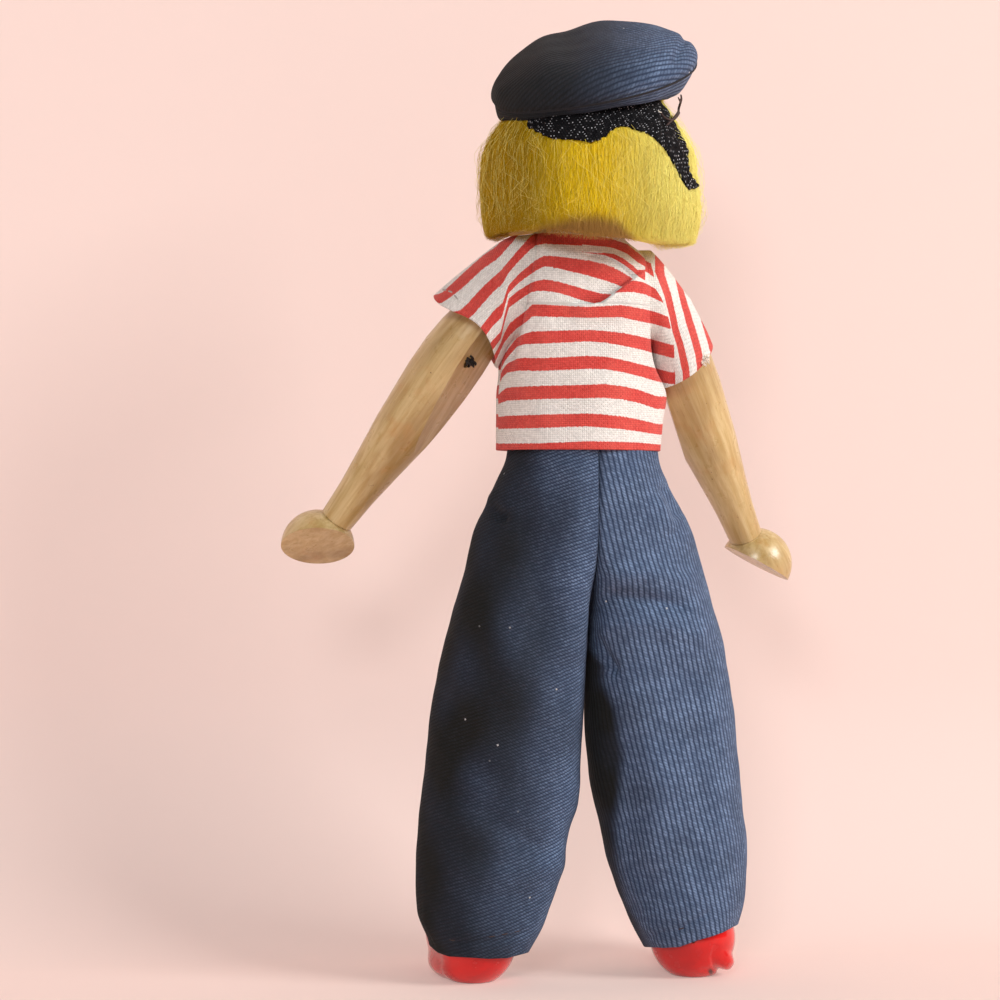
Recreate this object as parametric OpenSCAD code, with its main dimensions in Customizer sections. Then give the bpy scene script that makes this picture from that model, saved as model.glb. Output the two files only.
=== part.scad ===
// Peg wooden doll in sailor dress: turned wooden body, strung arms, pegged legs, wig, cap and clothes.
// Row frame: +Z up, the doll faces -Y, its left hand is on the +X side, the soles stand on Z = 0.

/* [Torso] */
// Height of the hip peg above the soles
hip_z = 89; // [87:0.5:91]
// Height of the shoulder cord above the hip peg
shoulder_rise = 46.5; // [46:0.25:48]
// Largest radius of the turned torso
torso_r = 12.2; // [11.6:0.1:12.3]
// Width of the flat-sided tongue between the legs
tongue_w = 10.4; // [9:0.2:11]
// Radius of the round end of the tongue
tongue_r = 6; // [5:0.25:6.25]
// Radius of the torso at the shoulder cord
chest_r = 10.4; // [10:0.1:10.6]
// Radius of the neck dowel
neck_r = 5.2; // [4:0.1:5.6]
// How far the neck stands to the doll's right of the middle
neck_off = 0.9; // [0:0.1:1.2]
// How far the neck dowel is glued into the torso
neck_sunk = 5.5; // [4:0.5:5.5]
// How far the neck dowel reaches into the head
neck_in_head = 11; // [8:1:14]

/* [Head] */
// Radius of the head ball
head_r = 17; // [16.5:0.1:17.2]
// Height of the head's centre above the shoulder cord
head_rise = 29.5; // [29.25:0.25:31]
// Radius of the wig at its widest
wig_r = 21.4; // [20.6:0.1:22]
// Angle of the wig's opening over the face
face_angle = 112; // [90:2:140]

/* [Arms] */
// Length from the shoulder pin to the middle of the hand
arm_len = 64; // [61:0.5:66]
// Radius of the arm's ball end
arm_ball_r = 5.2; // [5:0.1:5.4]
// Largest radius of the arm
arm_r = 7.1; // [6.4:0.1:7.2]
// Radius of the wrist
wrist_r = 3.5; // [3:0.1:3.8]
// Radius of the hand ball
hand_r = 7.5; // [6.8:0.1:7.8]
// Angle between the arm's axis and the normal of the hand's flat cut
palm_tilt = 57; // [50:1:62]
// Radius of the shoulder pin
arm_pin_r = 0.7; // [0.6:0.05:0.8]
// Radius of the shoulder cord
cord_r = 0.6; // [0.5:0.05:0.65]
// How far the two strung arms have slid to the doll's left
cord_slip = 2.05; // [1.6:0.05:2.4]

/* [Arm pose at rest] */
// Left arm, degrees out from hanging down
left_spread = 32; // [24:1:40]
// Left arm, degrees forward
left_swing = 22.5; // [10:0.5:30]
// Left arm, degrees of roll about its own length
left_roll = 25; // [0:5:40]
// Right arm, degrees out from hanging down
right_spread = 26; // [25:1:36]
// Right arm, degrees forward
right_swing = 21.5; // [15:0.5:30]
// Right arm, degrees of roll about its own length
right_roll = -25; // [-40:5:0]

/* [Legs] */
// Radius of the leg dowel at the hip
leg_r = 5.4; // [5:0.1:5.4]
// Radius of the leg dowel at the ankle
ankle_r = 4.4; // [4:0.1:4.8]
// Degrees that each leg is splayed outwards
leg_splay = 8; // [7:0.25:8.5]
// Radius of the hip peg
peg_r = 2; // [1.6:0.1:2.4]

/* [Shoes] */
// Radius of the rounded heel
heel_r = 8.6; // [8:0.1:8.7]
// Radius of the toe
toe_r = 6; // [5.4:0.1:6.2]
// How far the toe's centre lies before the heel's
shoe_reach = 16.5; // [15:0.5:17]
// How far the toe's centre lies above the heel's
toe_spring = 4.6; // [3:0.2:5]
// Radius of the leg's tenon in the shoe
tenon_r = 3; // [2.4:0.1:3.2]

/* [Clothes] */
// Thickness of the shirt cloth with its turned edges
shirt_wall = 0.6; // [0.4:0.05:0.65]
// Half the shirt's width at its hem
shirt_half_w = 16.4; // [15.6:0.2:17]
// How far the shirt and the waistband hang to the doll's left of the middle
shirt_off = 1.3; // [0.8:0.1:1.4]
// Half the shirt's depth at its hem
shirt_half_d = 14.8; // [14.6:0.1:15.2]
// Radius of the armholes
armhole_r = 9.15; // [8.2:0.05:9.3]
// Thickness of the trouser cloth
trouser_wall = 0.8; // [0.6:0.05:0.9]
// Half the seat's width where the legs part
seat_half_w = 25.4; // [24.6:0.2:26]
// Half the seat's depth
seat_half_d = 14.2; // [13.8:0.1:15]
// Half the width of a trouser leg
trouser_half_w = 15; // [14:0.2:15.4]
// Half the depth of a trouser leg
trouser_half_d = 13; // [12.4:0.2:14]
// Height of the trouser hem above the soles, at the back
hem_z = 6.8; // [6:0.2:8]

/* [Cap] */
// Radius of the cap's rim
cap_r = 21; // [20:0.2:21.6]
// Height of the crown above the rim
cap_h = 6.6; // [6:0.2:7.4]
// Degrees that the cap's rim is cocked to the doll's left
cap_cock = 13; // [9:1:15]
// Degrees that the cap's rim leans back
cap_lean = 22; // [17:1:24]
// Thickness of the cap's lined cloth
cap_wall = 1; // [0.8:0.1:1.1]
// Thickness of the black ribbon
ribbon_wall = 0.6; // [0.4:0.1:0.7]

/* [Hidden] */
$fn = 64;

// Clearances and the overrun of cuts
glue_gap = 0.04;
run_gap = 0.05;
joint_gap = 0.3;
cloth_gap = 0.3;
seam_gap = 0.15;
over = 1;

// Heights that the rest is hung on
shoulder_z = hip_z + shoulder_rise;
head_z = shoulder_z + head_rise;
// The round torso starts just over the tops of the legs
body_z = hip_z + leg_r + 1.2 * joint_gap + ankle_r / 8;
// The torso's shoulders end this far over the cord
shoulder_top = 0.56 * torso_r;
torso_top_z = shoulder_z + shoulder_top;
torso_h = torso_top_z - body_z;
// The dish in each shoulder is this deep. The right arm's ball sits in its dish, and the cord
// has let the left one out by twice the slip
socket_depth = 0.42 * arm_ball_r;
dish_x = chest_r + arm_ball_r - socket_depth;
left_shoulder_x = dish_x + 2 * cord_slip;
right_shoulder_x = dish_x;
hip_x = tongue_w / 2 + joint_gap + leg_r;

// The middle of the whole doll's box, at the arms' rest pose, stands on the origin
left_reach = left_shoulder_x + arm_len * sin(left_spread) + hand_r;
right_reach = right_shoulder_x + arm_len * sin(right_spread) + hand_r;
front_reach = arm_len * cos(right_spread) * sin(right_swing) + hand_r;
back_reach = 0.15 * head_r + cap_r * cos(cap_lean);
middle = [(left_reach - right_reach) / 2, (back_reach - front_reach) / 2, 0];

wood = [0.86, 0.66, 0.38];
pale_wood = [0.87, 0.73, 0.52];
steel = [0.35, 0.3, 0.26];
cord_colour = [0.12, 0.1, 0.09];
denim = [0.12, 0.16, 0.25];
shirt_red = [0.78, 0.2, 0.18];
straw = [0.86, 0.76, 0.28];
shoe_red = [0.78, 0.08, 0.07];

// Torso: radius and height of the turned profile, as shares of torso_r and torso_h
torso_shares = [
    [0.93, 0], [0.98, 0.06], [1, 0.16], [0.99, 0.3], [0.94, 0.42]];
// The chest goes on from there, as shares of chest_r and torso_h
chest_shares = [[1.03, 0.56], [1, 0.7], [1, 0.84], [0.97, 0.9], [0.88, 0.96], [0.75, 1]];

module placed() {
    translate(-middle)
    children();
}

// Turned wooden torso with its tongue, bores and shoulder dishes
module torso() {
    placed()
    color(wood)
    difference() {
        union() {
            translate([0, 0, body_z])
            rotate_extrude()
            polygon(concat([[0, 0]],
                [for (p = torso_shares) [p[0] * torso_r, p[1] * torso_h]],
                [for (p = chest_shares) [p[0] * chest_r, p[1] * torso_h]], [[0, torso_h]]));
            tongue();
        }
        // Bore of the hip peg
        translate([0, 0, hip_z])
        rotate([0, 90, 0])
        cylinder(r = peg_r + glue_gap, h = tongue_w + 2 * over, center = true);
        // Bore of the shoulder cord
        translate([0, 0, shoulder_z])
        rotate([0, 90, 0])
        cylinder(r = cord_r + joint_gap, h = 2 * torso_r + 2 * over, center = true);
        // Dishes that the arms' ball ends turn in
        for (side = [-1, 1])
            translate([side * dish_x, 0, shoulder_z])
            sphere(r = arm_ball_r + joint_gap);
        // Socket of the neck dowel
        translate([-neck_off, 0, torso_top_z - neck_sunk - glue_gap])
        cylinder(r = neck_r + glue_gap, h = neck_sunk + over);
    }
}

// Flat-sided tongue that stands between the legs
module tongue() {
    rotate([0, 90, 0])
    translate([-hip_z, 0, -tongue_w / 2])
    cylinder(r = tongue_r, h = tongue_w);
    translate([-tongue_w / 2, -tongue_r, hip_z])
    cube([tongue_w, 2 * tongue_r, body_z - hip_z + glue_gap]);
}

// The head is cut flat where it sits over the neck
neck_flat_r = 1.3 * neck_r;
head_bottom_z = head_z - sqrt(pow(head_r, 2) - pow(neck_flat_r, 2));
neck_top_z = head_bottom_z + neck_in_head;
// Dowel that joins the torso and the head
module neck_dowel() {
    placed()
    color(pale_wood)
    translate([-neck_off, 0, torso_top_z - neck_sunk])
    cylinder(r = neck_r, h = neck_top_z - torso_top_z + neck_sunk);
}

// The cord ends take over this far from the middle
cord_mouth_x = 0.66 * torso_r;

// Elastic cord in the torso's cross bore, up to where it meets the two ends
module shoulder_cord() {
    placed()
    color(cord_colour)
    translate([-cord_mouth_x, 0, shoulder_z])
    rotate([0, 90, 0])
    cylinder(r = cord_r, h = 2 * cord_mouth_x);
}
peg_half = hip_x + 0.8 * leg_r;
// Peg through the tongue and both legs
module hip_peg() {
    placed()
    color(pale_wood)
    translate([-peg_half, 0, hip_z])
    rotate([0, 90, 0])
    cylinder(r = peg_r, h = 2 * peg_half);
}

// Turned head ball, flattened below where it sits over the neck
module head() {
    placed()
    color(wood)
    difference() {
        translate([-neck_off, 0, head_z])
        sphere(r = head_r, $fn = 96);
        translate([-neck_off, 0, head_bottom_z - head_r])
        cylinder(r = head_r, h = head_r);
        translate([-neck_off, 0, head_bottom_z - over])
        cylinder(r = neck_r + run_gap, h = neck_in_head + over + joint_gap);
    }
}

// Wig: radius as a share of wig_r and height as a share of head_r, outside and then inside
wig_outer_shares = [[0.77, 0.6], [0.875, 0.38], [0.945, 0.12], [0.985, -0.2], [1, -0.55], [0.995, -0.85], [0.955, -1.06]];
wig_inner_shares = [[0.74, -1.1], [0.61, -0.98], [0.6, -0.8], [0.66, -0.62]];

wig_gap = 0.1;

// Bob of mohair round the back and sides of the head
module wig() {
    skull = head_r + wig_gap;
    placed()
    color(straw)
    translate([-neck_off, 0, head_z])
    difference() {
        rotate([0, 0, face_angle / 2 - 90])
        rotate_extrude(angle = 360 - face_angle, $fn = 96)
        polygon(concat(
            [for (p = wig_outer_shares) [p[0] * wig_r, p[1] * head_r]],
            [for (p = wig_inner_shares) [p[0] * wig_r, p[1] * head_r]],
            [[skull * cos(-36), skull * sin(-36)], [0.4 * skull, 0.6 * head_r]]));
        sphere(r = skull, $fn = 96);
        // Room for the cap, which sits on the top of the wig
        rotate([-mouth_lean, mouth_cock, 0])
        translate([0, 0, mouth_h - 3 * cloth_gap])
        cylinder(r = 2 * head_r, h = 2 * head_r);
        // The bob is cut a little shorter on the doll's left
        translate([0, 0, -1.12 * head_r])
        rotate([0, -bob_slope, 0])
        translate([0, 0, -head_r + head_r * sin(bob_slope)])
        cylinder(r = 2 * head_r, h = head_r);
    }
}
bob_slope = 2.6;

// The cap: mouth on the head, rim wide and thrown back. Heights and ways off are from the head's centre
mouth_lean = 7;
mouth_cock = 9;
mouth_h = 0.48 * head_r;
band_wall = 0.8;
mouth_r = sqrt(pow(head_r, 2) - pow(mouth_h, 2)) + band_wall + 2 * cloth_gap;
rim_middle_shares = [0, 0.15, 0.88];
cap_sides = 40;

// Turns a point about the head's centre: back first, then to the doll's left
function leant(v, lean, cock) =
    let (
        y = v[1] * cos(lean) + v[2] * sin(lean),
        z = v[2] * cos(lean) - v[1] * sin(lean))
    [v[0] * cos(cock) + z * sin(cock), y, z * cos(cock) - v[0] * sin(cock)];

// Crown from its middle to the rim: radius as a share of cap_r and height as a share of cap_h
crown_shares = [[0.2, 1], [0.46, 0.96], [0.7, 0.82], [0.88, 0.55], [0.97, 0.27], [1, 0]];
// Underside from the rim to the mouth: share of the way in, and how much it bulges
underside_shares = [[0, 0], [0.3, 0.7], [0.65, 1], [1, 0]];
under_bulge = 0.5;

// The crown swells on the doll's right side
function cap_swell(t) = 1 + 0.16 * cos(t - 170);
function rim_point(r, t, h) =
    rim_middle_shares * head_r + leant([r * cos(t), r * sin(t), h], cap_lean, cap_cock);
function crown_ring(p, inset) = [
    for (i = [0:cap_sides - 1])
        let (t = 360 * i / cap_sides)
        rim_point(p[0] * cap_r - inset, t, p[1] * cap_h * cap_swell(t) - (p[0] == 1 ? 0 : inset))];
function underside_ring(p, inset) = [
    for (i = [0:cap_sides - 1])
        let (
            t = 360 * i / cap_sides,
            rim = rim_point(cap_r - inset, t, -seam_gap),
            mouth = leant([mouth_r * cos(t), mouth_r * sin(t), mouth_h], mouth_lean, mouth_cock),
            lift = inset > 0 ? cap_wall * min(1, 3 * p[0]) : 0)
        (1 - p[0]) * rim + p[0] * mouth + [0, 0, lift - p[1] * under_bulge]];

// Top panel of the cap
module cap_top() {
    placed()
    color(denim)
    translate([-neck_off, 0, head_z])
    skin([for (p = crown_shares) crown_ring(p, 0)], [for (p = crown_shares) crown_ring(p, cap_wall)], true, true);
}

// Ring of cloth from the rim in to the head
module cap_underside() {
    placed()
    color(denim)
    translate([-neck_off, 0, head_z])
    skin([for (p = underside_shares) underside_ring(p, 0)],
        [for (p = underside_shares) underside_ring(p, cap_wall)], true, false);
}

// Band inside the cap that grips the head
module cap_band() {
    placed()
    color(cord_colour)
    translate([-neck_off, 0, head_z])
    rotate([-mouth_lean, mouth_cock, 0])
    translate([0, 0, mouth_h])
    difference() {
        cylinder(r = mouth_r - cloth_gap, h = band_h);
        translate([0, 0, -over])
        cylinder(r = mouth_r - cloth_gap - band_wall, h = band_h + 2 * over);
    }
}
band_h = 0.2 * head_r;

// Ribbon round the back of the wig, under the cap
ribbon_r = 0.96 * wig_r;
ribbon_w = 0.3 * head_r;
module ribbon_band() {
    placed()
    color(cord_colour)
    translate([-neck_off, 0, head_z])
    rotate([-mouth_lean, mouth_cock, 0])
    translate([0, 0, mouth_h - 3 * cloth_gap])
    rotate([0, 0, ribbon_from])
    rotate_extrude(angle = ribbon_angle, $fn = 96)
    polygon([[ribbon_r, 0], [ribbon_r + ribbon_wall, 0], [wig_r + ribbon_wall, -ribbon_w], [wig_r, -ribbon_w]]);
}
ribbon_from = 34;
ribbon_angle = 82;

// Loose end of the ribbon: angle round the head, height and width as shares of head_r
tail_shares = [[127.5, 0.36, 0.14], [133, 0.2, 0.18], [141, 0, 0.17], [149, -0.2, 0.14], [156, -0.38, 0.1], [163, -0.46, 0.05]];
module ribbon_tail() {
    placed()
    color(cord_colour)
    translate([-neck_off, 0, head_z])
    skin([for (p = tail_shares) tail_ring(p, wig_r + cloth_gap + ribbon_wall)],
        [for (p = tail_shares) tail_ring(p, wig_r + cloth_gap)], false, false);
}
function tail_ring(p, r) = [
    for (k = [-1, 0, 1])
        let (t = p[0] + k * p[2] * 57, h = p[1] * head_r + k * p[2] * head_r / 2)
        [r * cos(t), r * sin(t), h]];

// Joins an outer and an inner stack of rings into one closed skin. Rings run anticlockwise
// seen from above and go downwards. A round skin closes on itself, and a lidded one has a closed top.
module skin(outer, inner, round, lidded) {
    rows = len(outer);
    n = len(outer[0]);
    last = round ? n - 1 : n - 2;
    low = rows - 1;
    function o(j, i) = j * n + i % n;
    function q(j, i) = rows * n + o(j, i);
    walls = [for (j = [0:low - 1], i = [0:last]) each [
        [o(j, i), o(j, i + 1), o(j + 1, i + 1)], [o(j, i), o(j + 1, i + 1), o(j + 1, i)],
        [q(j, i), q(j + 1, i + 1), q(j, i + 1)], [q(j, i), q(j + 1, i), q(j + 1, i + 1)]]];
    lid = [[for (i = [n - 1:-1:0]) o(0, i)], [for (i = [0:n - 1]) q(0, i)]];
    top = lidded ? lid : [for (i = [0:last]) each [
        [o(0, i), q(0, i), q(0, i + 1)], [o(0, i), q(0, i + 1), o(0, i + 1)]]];
    bottom = [for (i = [0:last]) each [
        [o(low, i), q(low, i + 1), q(low, i)], [o(low, i), o(low, i + 1), q(low, i + 1)]]];
    ends = round ? [] : [for (j = [0:low - 1]) each [
        [q(j, 0), o(j, 0), o(j + 1, 0)], [q(j, 0), o(j + 1, 0), q(j + 1, 0)],
        [q(j, n - 1), o(j + 1, n - 1), o(j, n - 1)], [q(j, n - 1), q(j + 1, n - 1), o(j + 1, n - 1)]]];
    polyhedron(points = concat([for (r = outer) each r], [for (r = inner) each r]),
        faces = concat(walls, top, bottom, ends));
}

// Arm: distance from the shoulder pin as a share of the way to the wrist, and radius
// as a share of the way from wrist_r to arm_r
arm_shares = [[0.1, 0.67], [0.18, 0.89], [0.27, 1], [0.38, 0.96], [0.5, 0.8], [0.6, 0.67], [0.75, 0.36], [0.88, 0.12], [1, 0]];
groove_len = 0.8;
wrist_len = arm_len - sqrt(pow(hand_r, 2) - pow(wrist_r, 2)) - groove_len / 2;
groove_r = 0.88 * wrist_r;
// The arm's inner side is planed flat: distance from the axis at the pin and at the run-out
facet_near = 0.46 * arm_r;
facet_len = 0.55 * arm_len;
facet_far = 0.8 * arm_r;
facet_turn = 20;
palm_turn = 46;

// One arm, hanging down from the pin at the origin, with the torso on its -X side
module arm_body(roll) {
    loop_room = arm_pin_r + 2 * cord_r + 3 * run_gap + joint_gap;
    difference() {
        union() {
            sphere(r = arm_ball_r);
            rotate([180, 0, 0])
            rotate_extrude()
            polygon(concat([[0, 0], [arm_ball_r - run_gap, 0]],
                [for (p = arm_shares) [wrist_r + p[1] * (arm_r - wrist_r), p[0] * wrist_len]],
                [[groove_r, wrist_len + groove_len / 2], [wrist_r, wrist_len + groove_len],
                    [wrist_r, arm_len], [0, arm_len]]));
            translate([0, 0, -arm_len])
            sphere(r = hand_r);
        }
        // Slanting flat of the hand
        rotate([0, 0, roll])
        translate([0, 0, -arm_len])
        rotate([0, 0, -palm_turn])
        rotate([0, palm_tilt, 0])
        translate([0, 0, -hand_r])
        cube([2 * hand_r + over, 2 * hand_r + over, 2 * hand_r], center = true);
        // Planed flat of the upper arm
        rotate([0, 0, roll - facet_turn])
        rotate([0, atan((facet_far - facet_near) / facet_len), 0])
        translate([-facet_near - 2 * arm_r, -arm_r, -facet_len - arm_r])
        cube([2 * arm_r, 2 * arm_r, facet_len + 3 * arm_r]);
        // Bore of the shoulder pin
        rotate([90, 0, 0])
        cylinder(r = arm_pin_r + glue_gap, h = 2 * arm_ball_r + 2 * over, center = true);
        // Slot for the cord, open to the torso and upwards
        translate([-2 * arm_ball_r, -cord_r - joint_gap, -loop_room])
        cube([2 * arm_ball_r + loop_room, 2 * (cord_r + joint_gap), 2 * arm_ball_r]);
        // Hole for the tied end of the cord
        rotate([0, 0, knot_turn])
        translate([arm_ball_r / 2, 0, -knot_drop])
        rotate([0, 90, 0])
        cylinder(r = knot_r, h = 2 * arm_r);
    }
}
knot_drop = 0.22 * arm_len;
knot_r = 1;
knot_turn = 105;

// Puts children that hang from the pin at the origin into the doll's left shoulder
module at_shoulder(swing, spread, x) {
    translate([x, 0, shoulder_z])
    rotate([-swing, 0, 0])
    rotate([0, -spread, 0])
    children();
}

// Pin across the ball end, which the cord loops round
module arm_pin() {
    rotate([90, 0, 0])
    cylinder(r = arm_pin_r, h = 1.7 * arm_ball_r, center = true, $fn = 24);
}

// Cord from the torso's bore to its loop round the pin
module cord_end(x) {
    loop_r = arm_pin_r + cord_r + run_gap;
    color(cord_colour) {
        rotate([90, 0, 0])
        rotate_extrude()
        translate([loop_r, 0])
        circle(r = cord_r, $fn = 24);
        translate([cord_mouth_x + run_gap - x, 0, 0])
        rotate([0, 90, 0])
        cylinder(r = cord_r, h = x - cord_mouth_x - loop_r);
    }
}

// Tied end of the cord, seated in its hole in the back of the arm
module arm_knot() {
    color(cord_colour)
    rotate([0, 0, knot_turn])
    translate([arm_ball_r / 2 + glue_gap, 0, -knot_drop])
    rotate([0, 90, 0]) {
        cylinder(r = knot_r - glue_gap, h = arm_r - arm_ball_r / 2);
        translate([0, 0, arm_r - arm_ball_r / 2])
        sphere(r = knot_r - glue_gap, $fn = 24);
    }
}

// The ankle stands this high over the sole
ankle_z = 1.35 * heel_r;
leg_len = (hip_z - ankle_z) / cos(leg_splay);
tenon_len = 0.7 * heel_r;

// Leg dowel, hanging down from the hip peg, with its planed inner side
module leg_body() {
    color(wood)
    translate([hip_x, 0, hip_z])
    difference() {
        rotate([0, -leg_splay, 0])
        union() {
            sphere(r = leg_r);
            translate([0, 0, -leg_len])
            cylinder(r1 = ankle_r, r2 = leg_r, h = leg_len);
            translate([0, 0, -leg_len - tenon_len])
            cylinder(r = tenon_r, h = tenon_len + over);
        }
        rotate([0, 90, 0])
        cylinder(r = peg_r + run_gap, h = 4 * leg_r, center = true);
        // Planed flat that turns against the tongue
        translate([-3 * leg_r, -2 * leg_r, -2 * leg_r])
        cube([2 * leg_r, 4 * leg_r, 4 * leg_r]);
    }
}

// Wooden shoe: rounded heel, waist and a toe that turns out and springs up
sole_cut = 1.2;
heel_z = heel_r - sole_cut;
shoe_x = hip_x + (hip_z - heel_z) * tan(leg_splay);
heel_back = 0.12 * heel_r;
toe_out = 0.23 * shoe_reach;
// A blob of hardened paint on the right heel: its radius, and its place in shares of heel_r
blob_r = 1.5;
blob_shares = [0.56, 0.65, -0.44];
module shoe_body(blob) {
    color(shoe_red)
    difference() {
        union() {
            hull() {
                translate([shoe_x, heel_back, heel_z])
                sphere(r = heel_r, $fn = 32);
                translate([shoe_x + toe_out / 2, heel_back - shoe_reach / 2, heel_z - sole_cut / 4])
                sphere(r = 0.93 * heel_r, $fn = 32);
            }
            hull() {
                translate([shoe_x + toe_out / 2, heel_back - shoe_reach / 2, heel_z - sole_cut / 4])
                sphere(r = 0.93 * heel_r, $fn = 32);
                translate([shoe_x + toe_out, heel_back - shoe_reach, heel_z + toe_spring])
                sphere(r = toe_r, $fn = 32);
            }
            if (blob)
                translate([shoe_x, heel_back, heel_z] + blob_shares * heel_r)
                sphere(r = blob_r, $fn = 24);
        }
        // Flat sole
        translate([shoe_x - 2 * heel_r, -4 * heel_r, -2 * heel_r])
        cube([4 * heel_r, 8 * heel_r, 2 * heel_r]);
        // Flat that the ankle stands on, and the tenon's hole
        translate([hip_x, 0, hip_z])
        rotate([0, -leg_splay, 0]) {
            translate([0, 0, -leg_len])
            cylinder(r = ankle_r + joint_gap, h = 2 * heel_r);
            translate([0, 0, -leg_len - tenon_len - glue_gap])
            cylinder(r = tenon_r + glue_gap, h = 2 * heel_r);
        }
    }
}

// Shirt: height over the hem as a share of its length, half width and half depth
// as shares of those at the hem, and how round it is
shirt_hem_z = shoulder_z - 2.5 * torso_r;
shirt_top_z = shoulder_z + torso_r;
shirt_shares = [
    [1, 0.5, 0.58, 1], [0.96, 0.62, 0.65, 1], [0.92, 0.74, 0.72, 0.85], [0.87, 0.8, 0.8, 0.7],
    [0.8, 0.81, 0.87, 0.62], [0.71, 0.81, 0.92, 0.6], [0.48, 0.81, 0.935, 0.65], [0.37, 0.86, 0.945, 0.85],
    [0.26, 0.965, 0.965, 1], [0.13, 0.995, 0.985, 1], [0, 1, 1, 1]];
shirt_steps = 20;
function shirt_ring(p, inset, front) = [
    for (i = [0:shirt_steps])
        let (
            t = (front ? 180 : 0) + seam_angle + i * (180 - 2 * seam_angle) / shirt_steps,
            fold = shirt_fold * (1 - p[0]) * cos(7 * t + 40),
            x = sign(cos(t)) * pow(abs(cos(t)), p[3]),
            y = sign(sin(t)) * pow(abs(sin(t)), p[3]))
        [
            shirt_off + (p[1] * shirt_half_w + fold - inset) * x,
            (p[2] * shirt_half_d + fold - inset) * y,
            shirt_hem_z + p[0] * (shirt_top_z - shirt_hem_z)]];
seam_angle = 0.6;
shirt_fold = 0.25;

module shirt_panel(front) {
    color(shirt_red)
    difference() {
        skin([for (p = shirt_shares) shirt_ring(p, 0, front)],
            [for (p = shirt_shares) shirt_ring(p, shirt_wall, front)], false, false);
        for (side = [-1, 1])
            translate([side * shirt_half_w, 0, shoulder_z])
            rotate([0, 90, 0])
            cylinder(r = armhole_r, h = 1.1 * shirt_half_w, center = true);
    }
}

// Sleeve: a ring round the armhole, then rings that turn towards the arm and open out
sleeve_rows = 6;
sleeve_sides = 28;
// Each sleeve starts this far out from the middle of the shirt
sleeve_x = 0.815 * shirt_half_w + 2 * cloth_gap;
sleeve_fold = 0.35;
sleeve_bend = 4;
function sleeve_ring(s, x, aim, way_aim, reach, mouth, inset) =
    let (
        turn = 90 - (90 - aim) * s,
        heading = way_aim + (1 - s) * sleeve_bend,
        way = s * reach * [sin(heading), 0, -cos(heading)],
        u = [cos(turn), 0, sin(turn)],
        a = armhole_r + cloth_gap + s * (mouth[0] - armhole_r) - inset,
        b = armhole_r + cloth_gap + s * (mouth[1] - armhole_r) - inset)
    [for (i = [0:sleeve_sides - 1])
        let (t = 360 * i / sleeve_sides, wave = s * sleeve_fold * cos(3 * t + 30))
        [x, 0, 0] + way + (a + wave) * cos(t) * u + (b + wave) * sin(t) * [0, 1, 0]];

module sleeve(x, aim, way_aim, reach, mouth, swing) {
    color(shirt_red)
    translate([0, 0, shoulder_z])
    rotate([-swing, 0, 0])
    skin([for (j = [0:sleeve_rows]) sleeve_ring(j / sleeve_rows, x, aim, way_aim, reach, mouth, 0)],
        [for (j = [0:sleeve_rows]) sleeve_ring(j / sleeve_rows, x, aim, way_aim, reach, mouth, shirt_wall)],
        true, false);
}
// For each sleeve: where it starts, the degrees that its mouth faces outwards, the degrees that the
// sleeve runs outwards, how far it reaches and its mouth's half width and half depth
left_sleeve_x = sleeve_x + shirt_off;
left_sleeve_aim = left_spread + 20;
left_way_aim = left_spread + 17;
left_sleeve_reach = 1.75 * arm_r;
left_sleeve_mouth = [1.47 * arm_r, 1.42 * arm_r];
right_sleeve_x = sleeve_x - shirt_off;
right_sleeve_aim = right_spread + 11;
right_way_aim = right_spread + 1.5;
right_sleeve_reach = 2.54 * arm_r;
right_sleeve_mouth = [1.08 * arm_r, 1.5 * arm_r];

// Trouser seat, one half: height over the parting as a share of the seat's height, how far the half
// width has gone from the waist's to the seat's and half depth as a share of seat_half_d
waist_ease = 1.22;
waist_half_w = torso_r + trouser_wall + waist_ease;
part_z = hip_z - 1.18 * torso_r - joint_gap;
waist_z = shirt_hem_z + 0.1 * torso_r;
seat_shares = [
    [1, 0, 0.955], [0.9, 0.06, 0.965], [0.74, 0.27, 0.99], [0.58, 0.5, 1],
    [0.4, 0.73, 1], [0.26, 0.84, 0.99], [0.12, 0.95, 0.97], [0, 1.05, 0.945]];
seat_steps = 20;
function seat_ring(p, off, inset) = [
    for (i = [0:seat_steps])
        let (
            t = -90 + 180 * i / seat_steps,
            half_w = waist_half_w + p[1] * (seat_half_w - waist_half_w))
        [
            seam_gap / 2 + (half_w + p[0] * off - inset) * cos(t),
            (p[2] * seat_half_d - inset) * sin(t),
            part_z + p[0] * (waist_z - part_z)]];
module trouser_seat(off) {
    color(denim)
    skin([for (p = seat_shares) seat_ring(p, off, 0)],
        [for (p = seat_shares) seat_ring(p, off, trouser_wall)], false, false);
}

// Trouser leg: height over the hem as a share of its length, inner edge as a share of hip_x,
// half width and half depth as shares of those of the leg, and how square the inner side is
trouser_shares = [
    [1, 0.03, 0.86, 1.03, 0.4], [0.87, 0.035, 0.94, 1.02, 0.5], [0.72, 0.04, 0.99, 1, 0.7],
    [0.56, 0.08, 1.02, 0.98, 0.85], [0.36, 0.25, 1.01, 0.96, 1], [0.25, 0.36, 0.99, 0.94, 1],
    [0.14, 0.56, 0.91, 0.92, 1], [0.05, 0.78, 0.81, 0.89, 1], [0, 0.9, 0.765, 0.87, 1]];
trouser_sides = 36;
leg_top_z = part_z - cloth_gap;
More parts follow.
